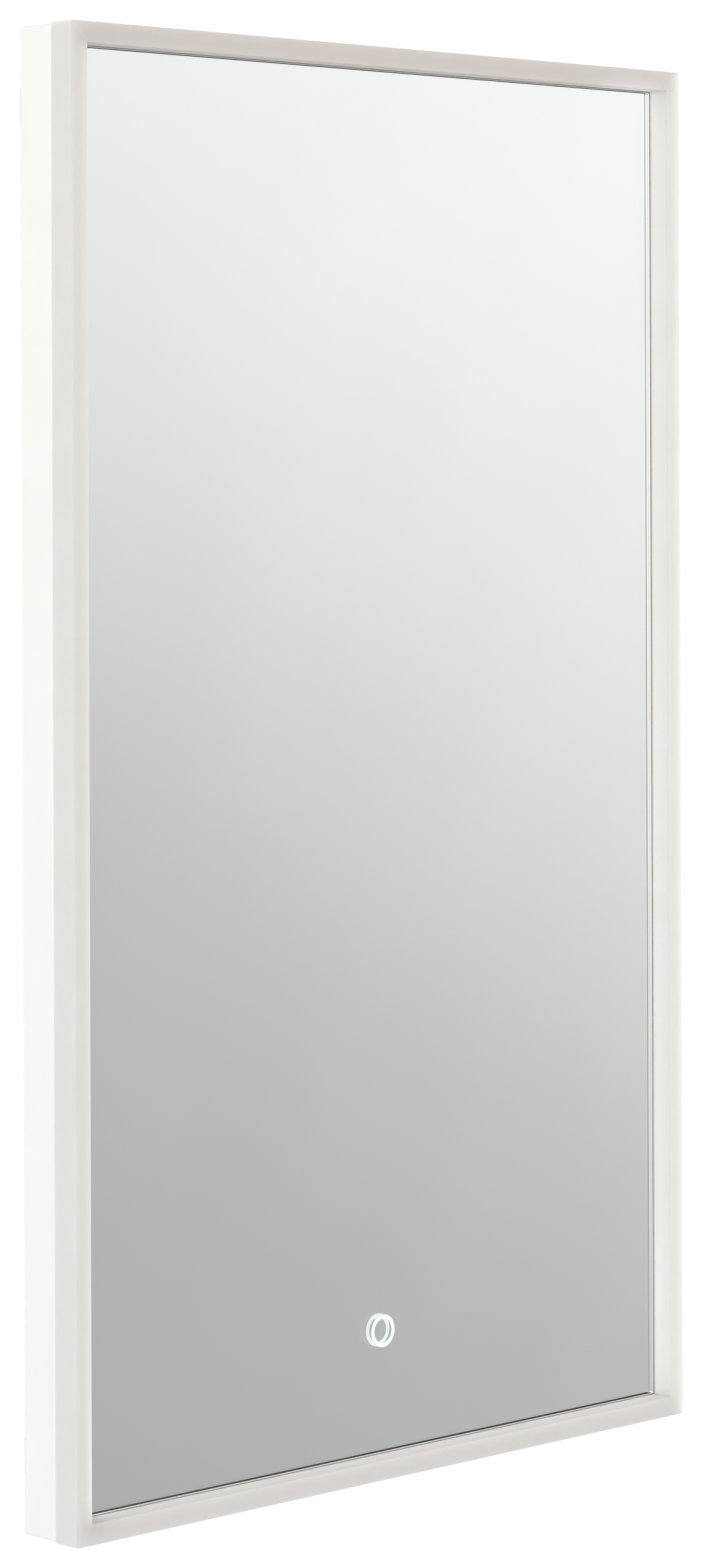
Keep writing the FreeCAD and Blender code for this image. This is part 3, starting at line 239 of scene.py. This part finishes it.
bare_aluminium = marked_metal("bare aluminium", RIVET_GREYS, RIVET_MARK, RIVET_ROUGHNESS)
dress("rivet_aluminium", bare_aluminium, "hanger_rivets", "bracket_rivets")


# Wall pads and cable grommet: black moulded rubber, matt, with a faint bloom on the skin. The pads
# are stuck on the rear lip of the chassis, and the grommet is pressed into the service cover.
RUBBER_BLACKS = ((0.022, 0.022, 0.023, 1), (0.050, 0.050, 0.052, 1))
RUBBER_PATCH = 0.004
RUBBER_SKIN = 0.0005
RUBBER_SKIN_DEPTH = 0.00002
RUBBER_ROUGHNESS = (0.62, 0.80)

rubber, tree, shader = start_finish("black rubber")
skin = mottle(tree, RUBBER_SKIN)
feed(tree, shader, {
    "Base Color": shades(tree, mottle(tree, RUBBER_PATCH), RUBBER_BLACKS),
    "Roughness": spread(tree, skin, RUBBER_ROUGHNESS),
    "Normal": relief(tree, skin, RUBBER_SKIN_DEPTH),
})
dress("black_rubber", rubber, "wall_pads", "cable_grommet")


# Moulded plastics: the driver's white case and lid and the dark parts on its board, the ivory
# terminal block, the natural nylon clips, the lead sheaths and the black cup of the touch sensor.
# All have the fine spark texture of the mould and a slight cloud in the colour.
MOULD_SPARK = 0.0004
MOULD_SPARK_DEPTH = 0.000008
MOULD_CLOUD = 0.012
DRIVER_WHITES = ((0.84, 0.84, 0.83, 1), (0.89, 0.89, 0.88, 1))
DRIVER_ROUGHNESS = (0.42, 0.55)
TERMINAL_IVORIES = ((0.80, 0.76, 0.66, 1), (0.86, 0.83, 0.74, 1))
TERMINAL_ROUGHNESS = (0.35, 0.48)
NYLON_CREAMS = ((0.82, 0.81, 0.75, 1), (0.88, 0.87, 0.82, 1))
NYLON_ROUGHNESS = (0.34, 0.46)
SHEATH_WHITES = ((0.80, 0.80, 0.79, 1), (0.86, 0.86, 0.85, 1))
SHEATH_ROUGHNESS = (0.30, 0.42)
SENSOR_BLACKS = ((0.020, 0.020, 0.022, 1), (0.040, 0.040, 0.043, 1))
SENSOR_ROUGHNESS = (0.38, 0.52)
WOUND_BROWNS = ((0.025, 0.025, 0.028, 1), (0.075, 0.065, 0.045, 1))
WOUND_ROUGHNESS = (0.35, 0.55)


def moulded(name, colours, roughness):
    """Plastic straight from the mould, between two shades."""
    finish, tree, shader = start_finish(name)
    spark = mottle(tree, MOULD_SPARK)
    feed(tree, shader, {
        "Base Color": shades(tree, mottle(tree, MOULD_CLOUD), colours),
        "Roughness": spread(tree, spark, roughness),
        "Normal": relief(tree, spark, MOULD_SPARK_DEPTH),
    })
    return finish


driver_white = moulded("driver plastic", DRIVER_WHITES, DRIVER_ROUGHNESS)
dress("driver_plastic", driver_white, "driver_case", "driver_lid")
terminal_ivory = moulded("terminal plastic", TERMINAL_IVORIES, TERMINAL_ROUGHNESS)
dress("terminal_plastic", terminal_ivory, "terminal_block")
nylon = moulded("natural nylon", NYLON_CREAMS, NYLON_ROUGHNESS)
dress("clip_nylon", nylon, "lead_clips")
sheath = moulded("lead sheath", SHEATH_WHITES, SHEATH_ROUGHNESS)
dress("lead_sheath", sheath, "led_lead", "touch_lead", "strip_jumpers")
sensor_black = moulded("sensor plastic", SENSOR_BLACKS, SENSOR_ROUGHNESS)
dress("sensor_plastic", sensor_black, "touch_sensor_case")
wound_black = moulded("wound parts", WOUND_BROWNS, WOUND_ROUGHNESS)
dress("driver_parts", wound_black, "driver_parts")


# Clamp screws of the terminal block: turned brass, slightly tarnished. Each stands in a well over
# the wire that it clamps.
BRASS_YELLOWS = ((0.46, 0.34, 0.13, 1), (0.72, 0.57, 0.27, 1))
BRASS_MARK = 0.0006
BRASS_ROUGHNESS = (0.25, 0.42)

brass = marked_metal("clamp brass", BRASS_YELLOWS, BRASS_MARK, BRASS_ROUGHNESS)
dress("clamp_brass", brass, "terminal_clamp_screws")


# Supply cores: two single cores from the terminal block to the driver, one brown and one blue,
# with a smooth extruded skin. They lie on either side of the middle of the case.
CORE_BROWN = (0.115, 0.050, 0.022, 1)
CORE_BLUE = (0.020, 0.075, 0.260, 1)
CORE_SPLIT = (0.0, 0.0001)
CORE_SKIN = 0.0010
CORE_ROUGHNESS = (0.28, 0.40)

core_skin, tree, shader = start_finish("core insulation")
across = add_node(tree, "ShaderNodeSeparateXYZ", {"Vector": place_on_piece(tree)}).outputs["X"]
feed(tree, shader, {
    "Base Color": shades(tree, across, (CORE_BLUE, CORE_BROWN), *CORE_SPLIT),
    "Roughness": spread(tree, mottle(tree, CORE_SKIN), CORE_ROUGHNESS),
})
dress("core_insulation", core_skin, "supply_wires")


# Circuit boards of the driver and the touch sensor: glass fibre with green lacquer, through which
# the copper tracks show as lighter bands.
BOARD_GREEN = (0.012, 0.085, 0.030, 1)
BOARD_ROUGHNESS = 0.30
TRACK_GREEN = (0.040, 0.200, 0.075, 1)
TRACK_CELL = 0.006
TRACK_EDGE = (0.50, 0.56)
TRACK_HEIGHT = 0.00002

board_green, tree, shader = start_finish("green board")
layout = {"Vector": place_on_piece(tree), "Scale": 1 / TRACK_CELL}
cells = add_node(tree, "ShaderNodeTexVoronoi", layout, distance="CHEBYCHEV", feature="F2")
tracks = cells.outputs["Distance"]
feed(tree, shader, {
    "Base Color": shades(tree, tracks, (TRACK_GREEN, BOARD_GREEN), *TRACK_EDGE),
    "Roughness": BOARD_ROUGHNESS,
    "Normal": relief(tree, tracks, TRACK_HEIGHT),
})
dress("green_board", board_green, "driver_board", "touch_sensor_board")


# Light strips: white boards stuck in the chassis channel, with the emitters soldered along them.
# Each emitter is a yellow phosphor under clear resin.
STRIP_WHITES = ((0.80, 0.80, 0.77, 1), (0.86, 0.86, 0.84, 1))
STRIP_ROUGHNESS = (0.36, 0.50)
PHOSPHOR_YELLOWS = ((0.80, 0.58, 0.08, 1), (0.88, 0.72, 0.18, 1))
PHOSPHOR_GRAIN = 0.0005
PHOSPHOR_ROUGHNESS = 0.35
RESIN_ROUGHNESS = 0.08

strip_white = moulded("strip board", STRIP_WHITES, STRIP_ROUGHNESS)
dress("strip_board", strip_white, *[f"led_strip_{side}" for side in SIDES])
phosphor, tree, shader = start_finish("led phosphor")
feed(tree, shader, {
    "Base Color": shades(tree, mottle(tree, PHOSPHOR_GRAIN), PHOSPHOR_YELLOWS),
    "Roughness": PHOSPHOR_ROUGHNESS,
    "Coat Weight": 1.0,
    "Coat Roughness": RESIN_ROUGHNESS,
})
dress("led_phosphor", phosphor, "led_chips")


# Acrylic frame: four bars of milky cast acrylic, mitred and bonded into one ring, with a tongue
# that sits in the chassis channel. The front is satin, and light soaks through it from bar to bar.
# The sides are sawn and sanded, which frosts them, so light turns back just under their skin.
ACRYLIC_CORNER = 0.0020
ACRYLIC_EDGE = 0.0008
ACRYLIC_REAR_EDGE = 0.0004
ACRYLIC_TONGUE = (0.0029, 0.0117)
ARC_STEPS = 6
SAME_POINT = 1e-7
SHARP_ANGLE = math.radians(40)
FRONT_MILKS = ((0.842, 0.833, 0.815, 1), (0.860, 0.852, 0.835, 1))
FRONT_SOAK = 0.080
SIDE_MILKS = ((0.765, 0.760, 0.745, 1), (0.780, 0.776, 0.762, 1))
SIDE_SOAK = 0.003
ACRYLIC_CLOUD = 0.045
ACRYLIC_SOAK_COLOURS = (1.0, 0.90, 0.80)
ACRYLIC_FROST = 0.0005
ACRYLIC_FROST_DEPTH = 0.000010
ACRYLIC_ROUGHNESS = (0.40, 0.50)
ACRYLIC_IOR = 1.49
BOND_WIDTH = 0.0009
BOND_GAIN = 1.05


def arc_points(centre, radius, start):
    """Points of a quarter circle round centre, from the start angle on."""
    angles = [start + math.pi / 2 * step / ARC_STEPS for step in range(ARC_STEPS + 1)]
    return [(centre[0] + radius * math.cos(a), centre[1] + radius * math.sin(a)) for a in angles]


def upright_outline(low, high, inset, radius):
    """Rectangle with rounded corners, inset from the box between two corners, seen along Y."""
    right, top = high.x - inset, high.z - inset
    left, bottom = low.x + inset, low.z + inset
    corners = ((right, top), (left, top), (left, bottom), (right, bottom))
    signs = ((-1, -1), (1, -1), (1, 1), (-1, 1))
    points = []
    for quarter, ((x, z), (toward_x, toward_z)) in enumerate(zip(corners, signs)):
        centre = (x + radius * toward_x, z + radius * toward_z)
        points += arc_points(centre, radius, quarter * math.pi / 2)
    return points


def skin_of_rings(name, rings, closed):
    """A mesh through rings of points: closed round like a tyre, or with a lid at either end."""
    count = len(rings[0])
    points = [point for ring in rings for point in ring]
    faces = []
    for ring in range(len(rings) if closed else len(rings) - 1):
        here = ring * count
        there = (ring + 1) % len(rings) * count
        for i in range(count):
            after = (i + 1) % count
            faces.append((here + i, here + after, there + after, there + i))
    if not closed:
        faces.append(tuple(range(count)))
        faces.append(tuple(reversed(range(len(points) - count, len(points)))))
    mesh = bpy.data.meshes.new(name)
    mesh.from_pydata(points, [], faces)
    net = bmesh.new()
    net.from_mesh(mesh)
    bmesh.ops.remove_doubles(net, verts=net.verts, dist=SAME_POINT)
    bmesh.ops.recalc_face_normals(net, faces=net.faces)
    net.to_mesh(mesh)
    net.free()
    mesh.shade_smooth()
    mesh.set_sharp_from_angle(angle=SHARP_ANGLE)
    piece = bpy.data.objects.new(name, mesh)
    bpy.context.scene.collection.objects.link(piece)
    piece.modifiers.new("even faces", "WEIGHTED_NORMAL").keep_sharp = True
    return piece


def coat_front_and_rest(piece, front, rest):
    """Gives the faces that look forwards one finish and all others another."""
    piece.data.materials.append(front)
    piece.data.materials.append(rest)
    for face in piece.data.polygons:
        face.material_index = 0 if face.normal.y < -math.sqrt(0.5) else 1


bars = [f"diffuser_bar_{side}" for side in SIDES]
left_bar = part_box("diffuser_bar_left")
frame_low = Vector((left_bar[0].x, left_bar[0].y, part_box("diffuser_bar_bottom")[0].z))
frame_high = Vector((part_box("diffuser_bar_right")[1].x, left_bar[1].y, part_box("diffuser_bar_top")[1].z))
bar_width = left_bar[1].x - left_bar[0].x
bar_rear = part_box("chassis_rail_left")[0].y
rear_centre = (ACRYLIC_REAR_EDGE, bar_rear - ACRYLIC_REAR_EDGE)
outer_centre = (ACRYLIC_EDGE, frame_low.y + ACRYLIC_EDGE)
inner_centre = (bar_width - ACRYLIC_EDGE, frame_low.y + ACRYLIC_EDGE)
section = arc_points(rear_centre, ACRYLIC_REAR_EDGE, math.pi / 2)
section += arc_points(outer_centre, ACRYLIC_EDGE, math.pi)
section += arc_points(inner_centre, ACRYLIC_EDGE, 1.5 * math.pi)
section.append((bar_width, bar_rear))
section += [(ACRYLIC_TONGUE[1], bar_rear), (ACRYLIC_TONGUE[1], frame_high.y)]
section += [(ACRYLIC_TONGUE[0], frame_high.y), (ACRYLIC_TONGUE[0], bar_rear)]
rings = []
for inset, y in section:
    outline = upright_outline(frame_low, frame_high, inset, max(ACRYLIC_CORNER - inset, 0))
    rings.append([(x, y, z) for x, z in outline])
acrylic_frame = skin_of_rings("acrylic_frame", rings, True)


def number_step(tree, operation, *numbers):
    """One step of arithmetic on numbers or sockets."""
    inputs = dict(enumerate(numbers))
    return add_node(tree, "ShaderNodeMath", inputs, operation=operation).outputs["Value"]


def on_mitre(tree):
    """1 in the mitres, where the bars are bonded, and 0 away from them."""
    place = add_node(tree, "ShaderNodeSeparateXYZ", {"Vector": place_on_piece(tree)}).outputs
    middle = (frame_low + frame_high) / 2
    reach = frame_high - middle
    across = number_step(tree, "ABSOLUTE", number_step(tree, "SUBTRACT", place["X"], middle.x))
    along = number_step(tree, "ABSOLUTE", number_step(tree, "SUBTRACT", place["Z"], middle.z))
    longer = number_step(tree, "SUBTRACT", along, across)
    apart = number_step(tree, "SUBTRACT", longer, reach.z - reach.x)
    away = number_step(tree, "ABSOLUTE", apart)
    span = (0.0, BOND_WIDTH / math.sqrt(2))
    return spread(tree, away, (1.0, 0.0), span, interpolation_type="SMOOTHSTEP")


def acrylic(name, milks, soak):
    """Milky acrylic between two shades, which light soaks into, soak metres deep."""
    finish, tree, shader = start_finish(name)
    frost = mottle(tree, ACRYLIC_FROST)
    body = shades(tree, mottle(tree, ACRYLIC_CLOUD), milks)
    # Inputs 6 and 7 and output 2 are the mix node's colours.
    bond = {0: on_mitre(tree), 6: body, 7: toned(milks[1], BOND_GAIN)}
    joined = add_node(tree, "ShaderNodeMix", bond, data_type="RGBA")
    feed(tree, shader, {
        "Base Color": joined.outputs[2],
        "Roughness": spread(tree, frost, ACRYLIC_ROUGHNESS),
        "IOR": ACRYLIC_IOR,
        "Subsurface Weight": 1.0,
        "Subsurface Radius": ACRYLIC_SOAK_COLOURS,
        "Subsurface Scale": soak,
        "Normal": relief(tree, frost, ACRYLIC_FROST_DEPTH),
    })
    return finish


satin_acrylic = acrylic("satin acrylic", FRONT_MILKS, FRONT_SOAK)
frosted_acrylic = acrylic("frosted acrylic", SIDE_MILKS, SIDE_SOAK)
coat_front_and_rest(acrylic_frame, satin_acrylic, frosted_acrylic)
# The pane shows the room, and not its own frame.
acrylic_frame.visible_glossy = False
acrylic_frame.visible_transmission = False
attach(acrylic_frame, "mirror")
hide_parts(*bars)


# Mirror tape and safety film: white foam tape on the chassis flange holds the pane, and a bluish
# film on its back keeps the pieces together if it breaks.
FOAM_WHITES = ((0.74, 0.74, 0.72, 1), (0.84, 0.84, 0.82, 1))
FOAM_ROUGHNESS = (0.75, 0.90)
FILM_BLUES = ((0.56, 0.62, 0.68, 1), (0.64, 0.69, 0.74, 1))
FILM_ROUGHNESS = (0.30, 0.42)

foam = moulded("foam tape", FOAM_WHITES, FOAM_ROUGHNESS)
dress("foam_tape", foam, *[f"mirror_tape_{side}" for side in SIDES])
film = moulded("safety film", FILM_BLUES, FILM_ROUGHNESS)
dress("safety_film", film, "safety_film")


# Silver coat: the reflecting layer on the back of the pane, which runs out to the eased edge. It is
# sprayed on, so its tone drifts very slightly, and it keys into the glass. Behind it lies a coat of
# grey paint against damp.
SILVER_GREYS = ((0.945, 0.950, 0.948, 1), (0.965, 0.968, 0.966, 1))
SILVER_CLOUD = 0.150
SILVER_CORNER = 0.0014
SILVER_KEY = 0.00004
PAINT_GREYS = ((0.20, 0.22, 0.23, 1), (0.26, 0.28, 0.29, 1))
PAINT_ROUGHNESS = (0.45, 0.60)

coat_low, coat_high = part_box("silver_coat")
outline = upright_outline(coat_low, coat_high, 0, SILVER_CORNER)
coat_depths = (coat_low.y - SILVER_KEY, coat_high.y)
rings = [[(x, y, z) for x, z in outline] for y in coat_depths]
silver_layer = skin_of_rings("silver_layer", rings, False)
silver, tree, shader = start_finish("silver coat")
feed(tree, shader, {
    "Base Color": shades(tree, mottle(tree, SILVER_CLOUD), SILVER_GREYS),
    "Metallic": 1.0,
    "Roughness": 0.0,
})
backing = moulded("backing paint", PAINT_GREYS, PAINT_ROUGHNESS)
coat_front_and_rest(silver_layer, silver, backing)
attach(silver_layer, "mirror")
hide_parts("silver_coat")


# Mirror pane: clear float glass, 5 mm. Its edges are polished, and the arris between edge and face
# is ground, so it is a little dull. The iron in the glass tints long paths green.
GLASS_CLEAR = (1, 1, 1, 1)
GLASS_IOR = 1.52
GLASS_TINT = (0.78, 0.93, 0.87, 1)
GLASS_DENSITY = 2.5
ARRIS_DULL = 0.15
ARRIS_SPAN = 0.2


def facing_on(tree):
    """Which way the skin faces, as X, Y and Z."""
    facing = add_node(tree, "ShaderNodeNewGeometry", {}).outputs["True Normal"]
    return add_node(tree, "ShaderNodeSeparateXYZ", {"Vector": facing}).outputs


glass, tree, shader = start_finish("clear glass")
forwards = number_step(tree, "ABSOLUTE", facing_on(tree)["Y"])
arris = number_step(tree, "COMPARE", forwards, math.sqrt(0.5), ARRIS_SPAN)
feed(tree, shader, {
    "Base Color": GLASS_CLEAR,
    "Roughness": number_step(tree, "MULTIPLY", arris, ARRIS_DULL),
    "IOR": GLASS_IOR,
    "Transmission Weight": 1.0,
})
iron = add_node(tree, "ShaderNodeVolumeAbsorption", {"Color": GLASS_TINT, "Density": GLASS_DENSITY})
tree.links.new(iron.outputs["Volume"], tree.nodes["Material Output"].inputs["Volume"])
dress("clear_glass", glass, "mirror_glass")


# Touch ring: a ring of translucent white enamel fired on the front of the pane. It marks the switch. Its
# glow, mostly to the front, is partly the sensor's small lamp and partly painted light that keeps it white.
# The weaker glow on its back is a painted reflection, which lightens the second image of it that the silver
# behind the glass shows.
RING_WHITES = ((0.87, 0.86, 0.84, 1), (0.90, 0.89, 0.87, 1))
RING_GRAIN = 0.0010
RING_ROUGHNESS = 0.35
RING_LAMP_AND_PAINTED_GLOW = (0.84, 0.93, 1.0, 1)
RING_LAMP_AND_PAINTED_GLOW_FRONT = 0.48
RING_PAINTED_REFLECTION_GLOW = 0.23

enamel, tree, shader = start_finish("ring enamel")
# Painted light: the glow facing forwards keeps the ring white, and the glow facing back paints its
# reflection in the silver.
lamp_and_painted_glow = spread(tree, facing_on(tree)["Y"], (RING_LAMP_AND_PAINTED_GLOW_FRONT, RING_PAINTED_REFLECTION_GLOW), (-1.0, 1.0))
feed(tree, shader, {
    "Base Color": shades(tree, mottle(tree, RING_GRAIN), RING_WHITES),
    "Roughness": RING_ROUGHNESS,
    "Emission Color": RING_LAMP_AND_PAINTED_GLOW,
    "Emission Strength": lamp_and_painted_glow,
})
dress("ring_white", enamel, "touch_ring")


# Floor: a plain pale disc under the mirror, at the height where such a mirror hangs. Towards its
# rim it turns into the white of the background.
FLOOR_DROP = 0.95
FLOOR_RADIUS = 2.2
FLOOR_CORNERS = 128
FLOOR_PALE = (0.86, 0.89, 0.93, 1)
FLOOR_ROUGHNESS = 0.9
FADE_START = 0.35
FADE_END = 0.95
BACKGROUND_WHITE = (1, 1, 1, 1)


def ray_kinds(tree):
    """Whether a ray comes from the camera, and whether it comes from metal or glass."""
    ray = add_node(tree, "ShaderNodeLightPath", {}).outputs
    mirrored = number_step(tree, "MAXIMUM", ray["Is Glossy Ray"], ray["Is Transmission Ray"])
    return ray["Is Camera Ray"], mirrored


floor_place = (0, 0, cad_box[0].z - FLOOR_DROP)
bpy.ops.mesh.primitive_circle_add(vertices=FLOOR_CORNERS, radius=FLOOR_RADIUS, fill_type="NGON",
                                  location=floor_place)
floor = bpy.context.object
floor.name = "floor"
pale_floor, tree, shader = start_finish("pale floor")
feed(tree, shader, {"Base Color": FLOOR_PALE, "Roughness": FLOOR_ROUGHNESS})
from_middle = vector_step(tree, "LENGTH", place_on_piece(tree), output="Value")
fade_span = (FLOOR_RADIUS * FADE_START, FLOOR_RADIUS * FADE_END)
fade = spread(tree, from_middle, (0.0, 1.0), fade_span, interpolation_type="SMOOTHSTEP")
from_camera, mirrored = ray_kinds(tree)
whiten = number_step(tree, "MULTIPLY", fade, number_step(tree, "MAXIMUM", from_camera, mirrored))
white = add_node(tree, "ShaderNodeEmission", {"Color": BACKGROUND_WHITE, "Strength": 1.0})
layers = {0: whiten, 1: shader.outputs["BSDF"], 2: white.outputs["Emission"]}
blend = add_node(tree, "ShaderNodeMixShader", layers)
tree.links.new(blend.outputs["Shader"], tree.nodes["Material Output"].inputs["Surface"])
floor.data.materials.append(pale_floor)


# Studio room: even soft light all round, warm in front of the mirror and plain elsewhere. The
# camera sees plain white. Glass and metal see a room that is white above and grey below, which
# gives the mirror its slanting shade.
ROOM_WARM = (1.0, 0.860, 0.745, 1)
ROOM_PLAIN = (0.92, 0.92, 0.92, 1)
ROOM_TURN = (-0.4, 0.0)
ROOM_STRENGTH = 0.63
SHADE_AXIS = (0.712, 0.702, 0.0)
SHADE_TURNS = 4.0
SHADE_SLANT = 0.18
SHADE_STOPS = ((-1.0, 0.40), (-0.272, 0.432), (-0.155, 0.515), (-0.119, 0.565), (-0.019, 0.79),
               (0.047, 0.90), (0.127, 0.97), (0.4, 1.0))

world = bpy.data.worlds.new("studio")
bpy.context.scene.world = world
world.use_nodes = True
tree = world.node_tree
way = add_node(tree, "ShaderNodeTexCoord", {}).outputs["Generated"]
heading = add_node(tree, "ShaderNodeSeparateXYZ", {"Vector": way}).outputs
behind = spread(tree, heading["Y"], (0.0, 1.0), ROOM_TURN)
room_light = shades(tree, behind, (ROOM_WARM, ROOM_PLAIN), 0.0, 1.0)
turn = vector_step(tree, "DOT_PRODUCT", way, SHADE_AXIS, output="Value")
wave = number_step(tree, "SINE", number_step(tree, "MULTIPLY", turn, SHADE_TURNS))
slanted = number_step(tree, "MULTIPLY_ADD", wave, SHADE_SLANT, heading["Z"])
ramp = add_node(tree, "ShaderNodeValToRGB", {"Fac": spread(tree, slanted, (0.0, 1.0), (-1.0, 1.0))})
stops = ramp.color_ramp.elements
while len(stops) < len(SHADE_STOPS):
    stops.new(0.5)
for stop, (level, grey) in zip(stops, SHADE_STOPS):
    stop.position = (level + 1) / 2
    stop.color = (grey, grey, grey, 1)


def background(tree, colour):
    """Plain light of one colour or pattern from all round."""
    return add_node(tree, "ShaderNodeBackground", {"Color": colour, "Strength": 1.0}).outputs[0]


soft_room = tree.nodes["Background"]
feed(tree, soft_room, {"Color": room_light, "Strength": ROOM_STRENGTH})
shaded_room = background(tree, ramp.outputs["Color"])
white_room = background(tree, BACKGROUND_WHITE)
from_camera, mirrored = ray_kinds(tree)
lit = add_node(tree, "ShaderNodeMixShader", {0: mirrored, 1: soft_room.outputs[0], 2: shaded_room})
seen = add_node(tree, "ShaderNodeMixShader", {0: from_camera, 1: lit.outputs[0], 2: white_room})
tree.links.new(seen.outputs[0], tree.nodes["World Output"].inputs["Surface"])


# Soft lamps: broad ones far out on the left and the right, level with the mirror, which light its
# sides, and a small one high up behind it, which rakes across its back.
SIDE_LAMP_SIZE = (1.5, 3.4)
LEFT_LAMP_PLACE = Vector((-5.0, -0.30, -0.3))
LEFT_WATTS = 95.0
LEFT_WHITE = (0.86, 0.965, 1.0)
RIGHT_LAMP_PLACE = Vector((5.0, -0.30, -0.3))
RIGHT_WATTS = 107.0
RIGHT_WHITE = (0.77, 0.925, 1.0)
REAR_LAMP_SIZE = (1.0, 1.0)
REAR_LAMP_PLACE = Vector((-1.4, 2.2, 1.7))
REAR_WATTS = 20.0
REAR_WHITE = (1.0, 0.92, 0.83)


def soft_lamp(name, place, aim, size, watts, colour):
    """A soft rectangular lamp that faces a point and shows neither itself nor its reflection."""
    light = bpy.data.lights.new(name, "AREA")
    light.shape = "RECTANGLE"
    light.size, light.size_y = size
    light.energy = watts
    light.color = colour
    lamp = bpy.data.objects.new(name, light)
    lamp.location = place
    lamp.rotation_mode = "QUATERNION"
    lamp.rotation_quaternion = (aim - place).to_track_quat("-Z", "Y")
    lamp.visible_camera = False
    lamp.visible_glossy = False
    lamp.visible_transmission = False
    bpy.context.scene.collection.objects.link(lamp)


part_middle = (cad_box[0] + cad_box[1]) / 2
soft_lamp("left lamp", LEFT_LAMP_PLACE, part_middle, SIDE_LAMP_SIZE, LEFT_WATTS, LEFT_WHITE)
soft_lamp("right lamp", RIGHT_LAMP_PLACE, part_middle, SIDE_LAMP_SIZE, RIGHT_WATTS, RIGHT_WHITE)
soft_lamp("rear lamp", REAR_LAMP_PLACE, part_middle, REAR_LAMP_SIZE, REAR_WATTS, REAR_WHITE)


# Thrown light: a mirror throws light back on the inner sides of its frame. Four strips just in
# front of the pane's edges stand for it, each with its strength in watts per square metre.
THROW_WHITE = (0.96, 0.98, 1.0)
THROW_WARM = (1.0, 0.87, 0.70)
THROW_GAP = 0.0001
THROW_REACH = 0.060
THROW_END = 0.012
LEFT_THROW = 1.6
RIGHT_THROW = 3.75
TOP_THROW = 1.7
BOTTOM_THROW = 3.6

pane_low, pane_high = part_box("mirror_glass")
inner_left = pane_low.x + THROW_REACH
inner_right = pane_high.x - THROW_REACH
inner_low = pane_low.z + THROW_REACH
inner_high = pane_high.z - THROW_REACH
bottom_left = pane_low.x + THROW_END
throws = {
    "left throw": (pane_low.x, inner_left, inner_low, pane_high.z, LEFT_THROW, THROW_WHITE),
    "right throw": (inner_right, pane_high.x, pane_low.z, pane_high.z, RIGHT_THROW, THROW_WHITE),
    "top throw": (inner_left, inner_right, inner_high, pane_high.z, TOP_THROW, THROW_WARM),
    "bottom throw": (bottom_left, inner_right, pane_low.z, inner_low, BOTTOM_THROW, THROW_WHITE),
}
for name, (left, right, low, high, strength, colour) in throws.items():
    place = Vector(((left + right) / 2, pane_low.y - THROW_GAP, (low + high) / 2))
    size = (right - left, high - low)
    soft_lamp(name, place, place - Vector((0, 1, 0)), size, strength * size[0] * size[1], colour)


# Camera: level, to the left of the mirror and above its middle, with the picture shifted down so
# that upright edges stay upright.
CAMERA_PLACE = Vector((-2.25807, -2.30161, -0.17205))
CAMERA_YAW = math.radians(44.571)
CAMERA_ROLL = -0.0033
CAMERA_SENSOR = 36.0
CAMERA_LENS = 104.5
CAMERA_SHIFT_DOWN = 0.2032
CAMERA_REACH = 100.0

view = bpy.data.cameras.new("camera")
view.sensor_width = CAMERA_SENSOR
view.lens = CAMERA_LENS
view.shift_y = -CAMERA_SHIFT_DOWN
view.clip_end = CAMERA_REACH
camera = bpy.data.objects.new("camera", view)
upright = Matrix.Rotation(math.pi / 2, 4, "X")
turned = Matrix.Rotation(-CAMERA_YAW, 4, "Z")
rolled = Matrix.Rotation(CAMERA_ROLL, 4, "Z")
camera.matrix_world = Matrix.Translation(CAMERA_PLACE) @ turned @ upright @ rolled
bpy.context.scene.collection.objects.link(camera)
bpy.context.scene.camera = camera
bpy.context.scene.view_settings.view_transform = "Standard"
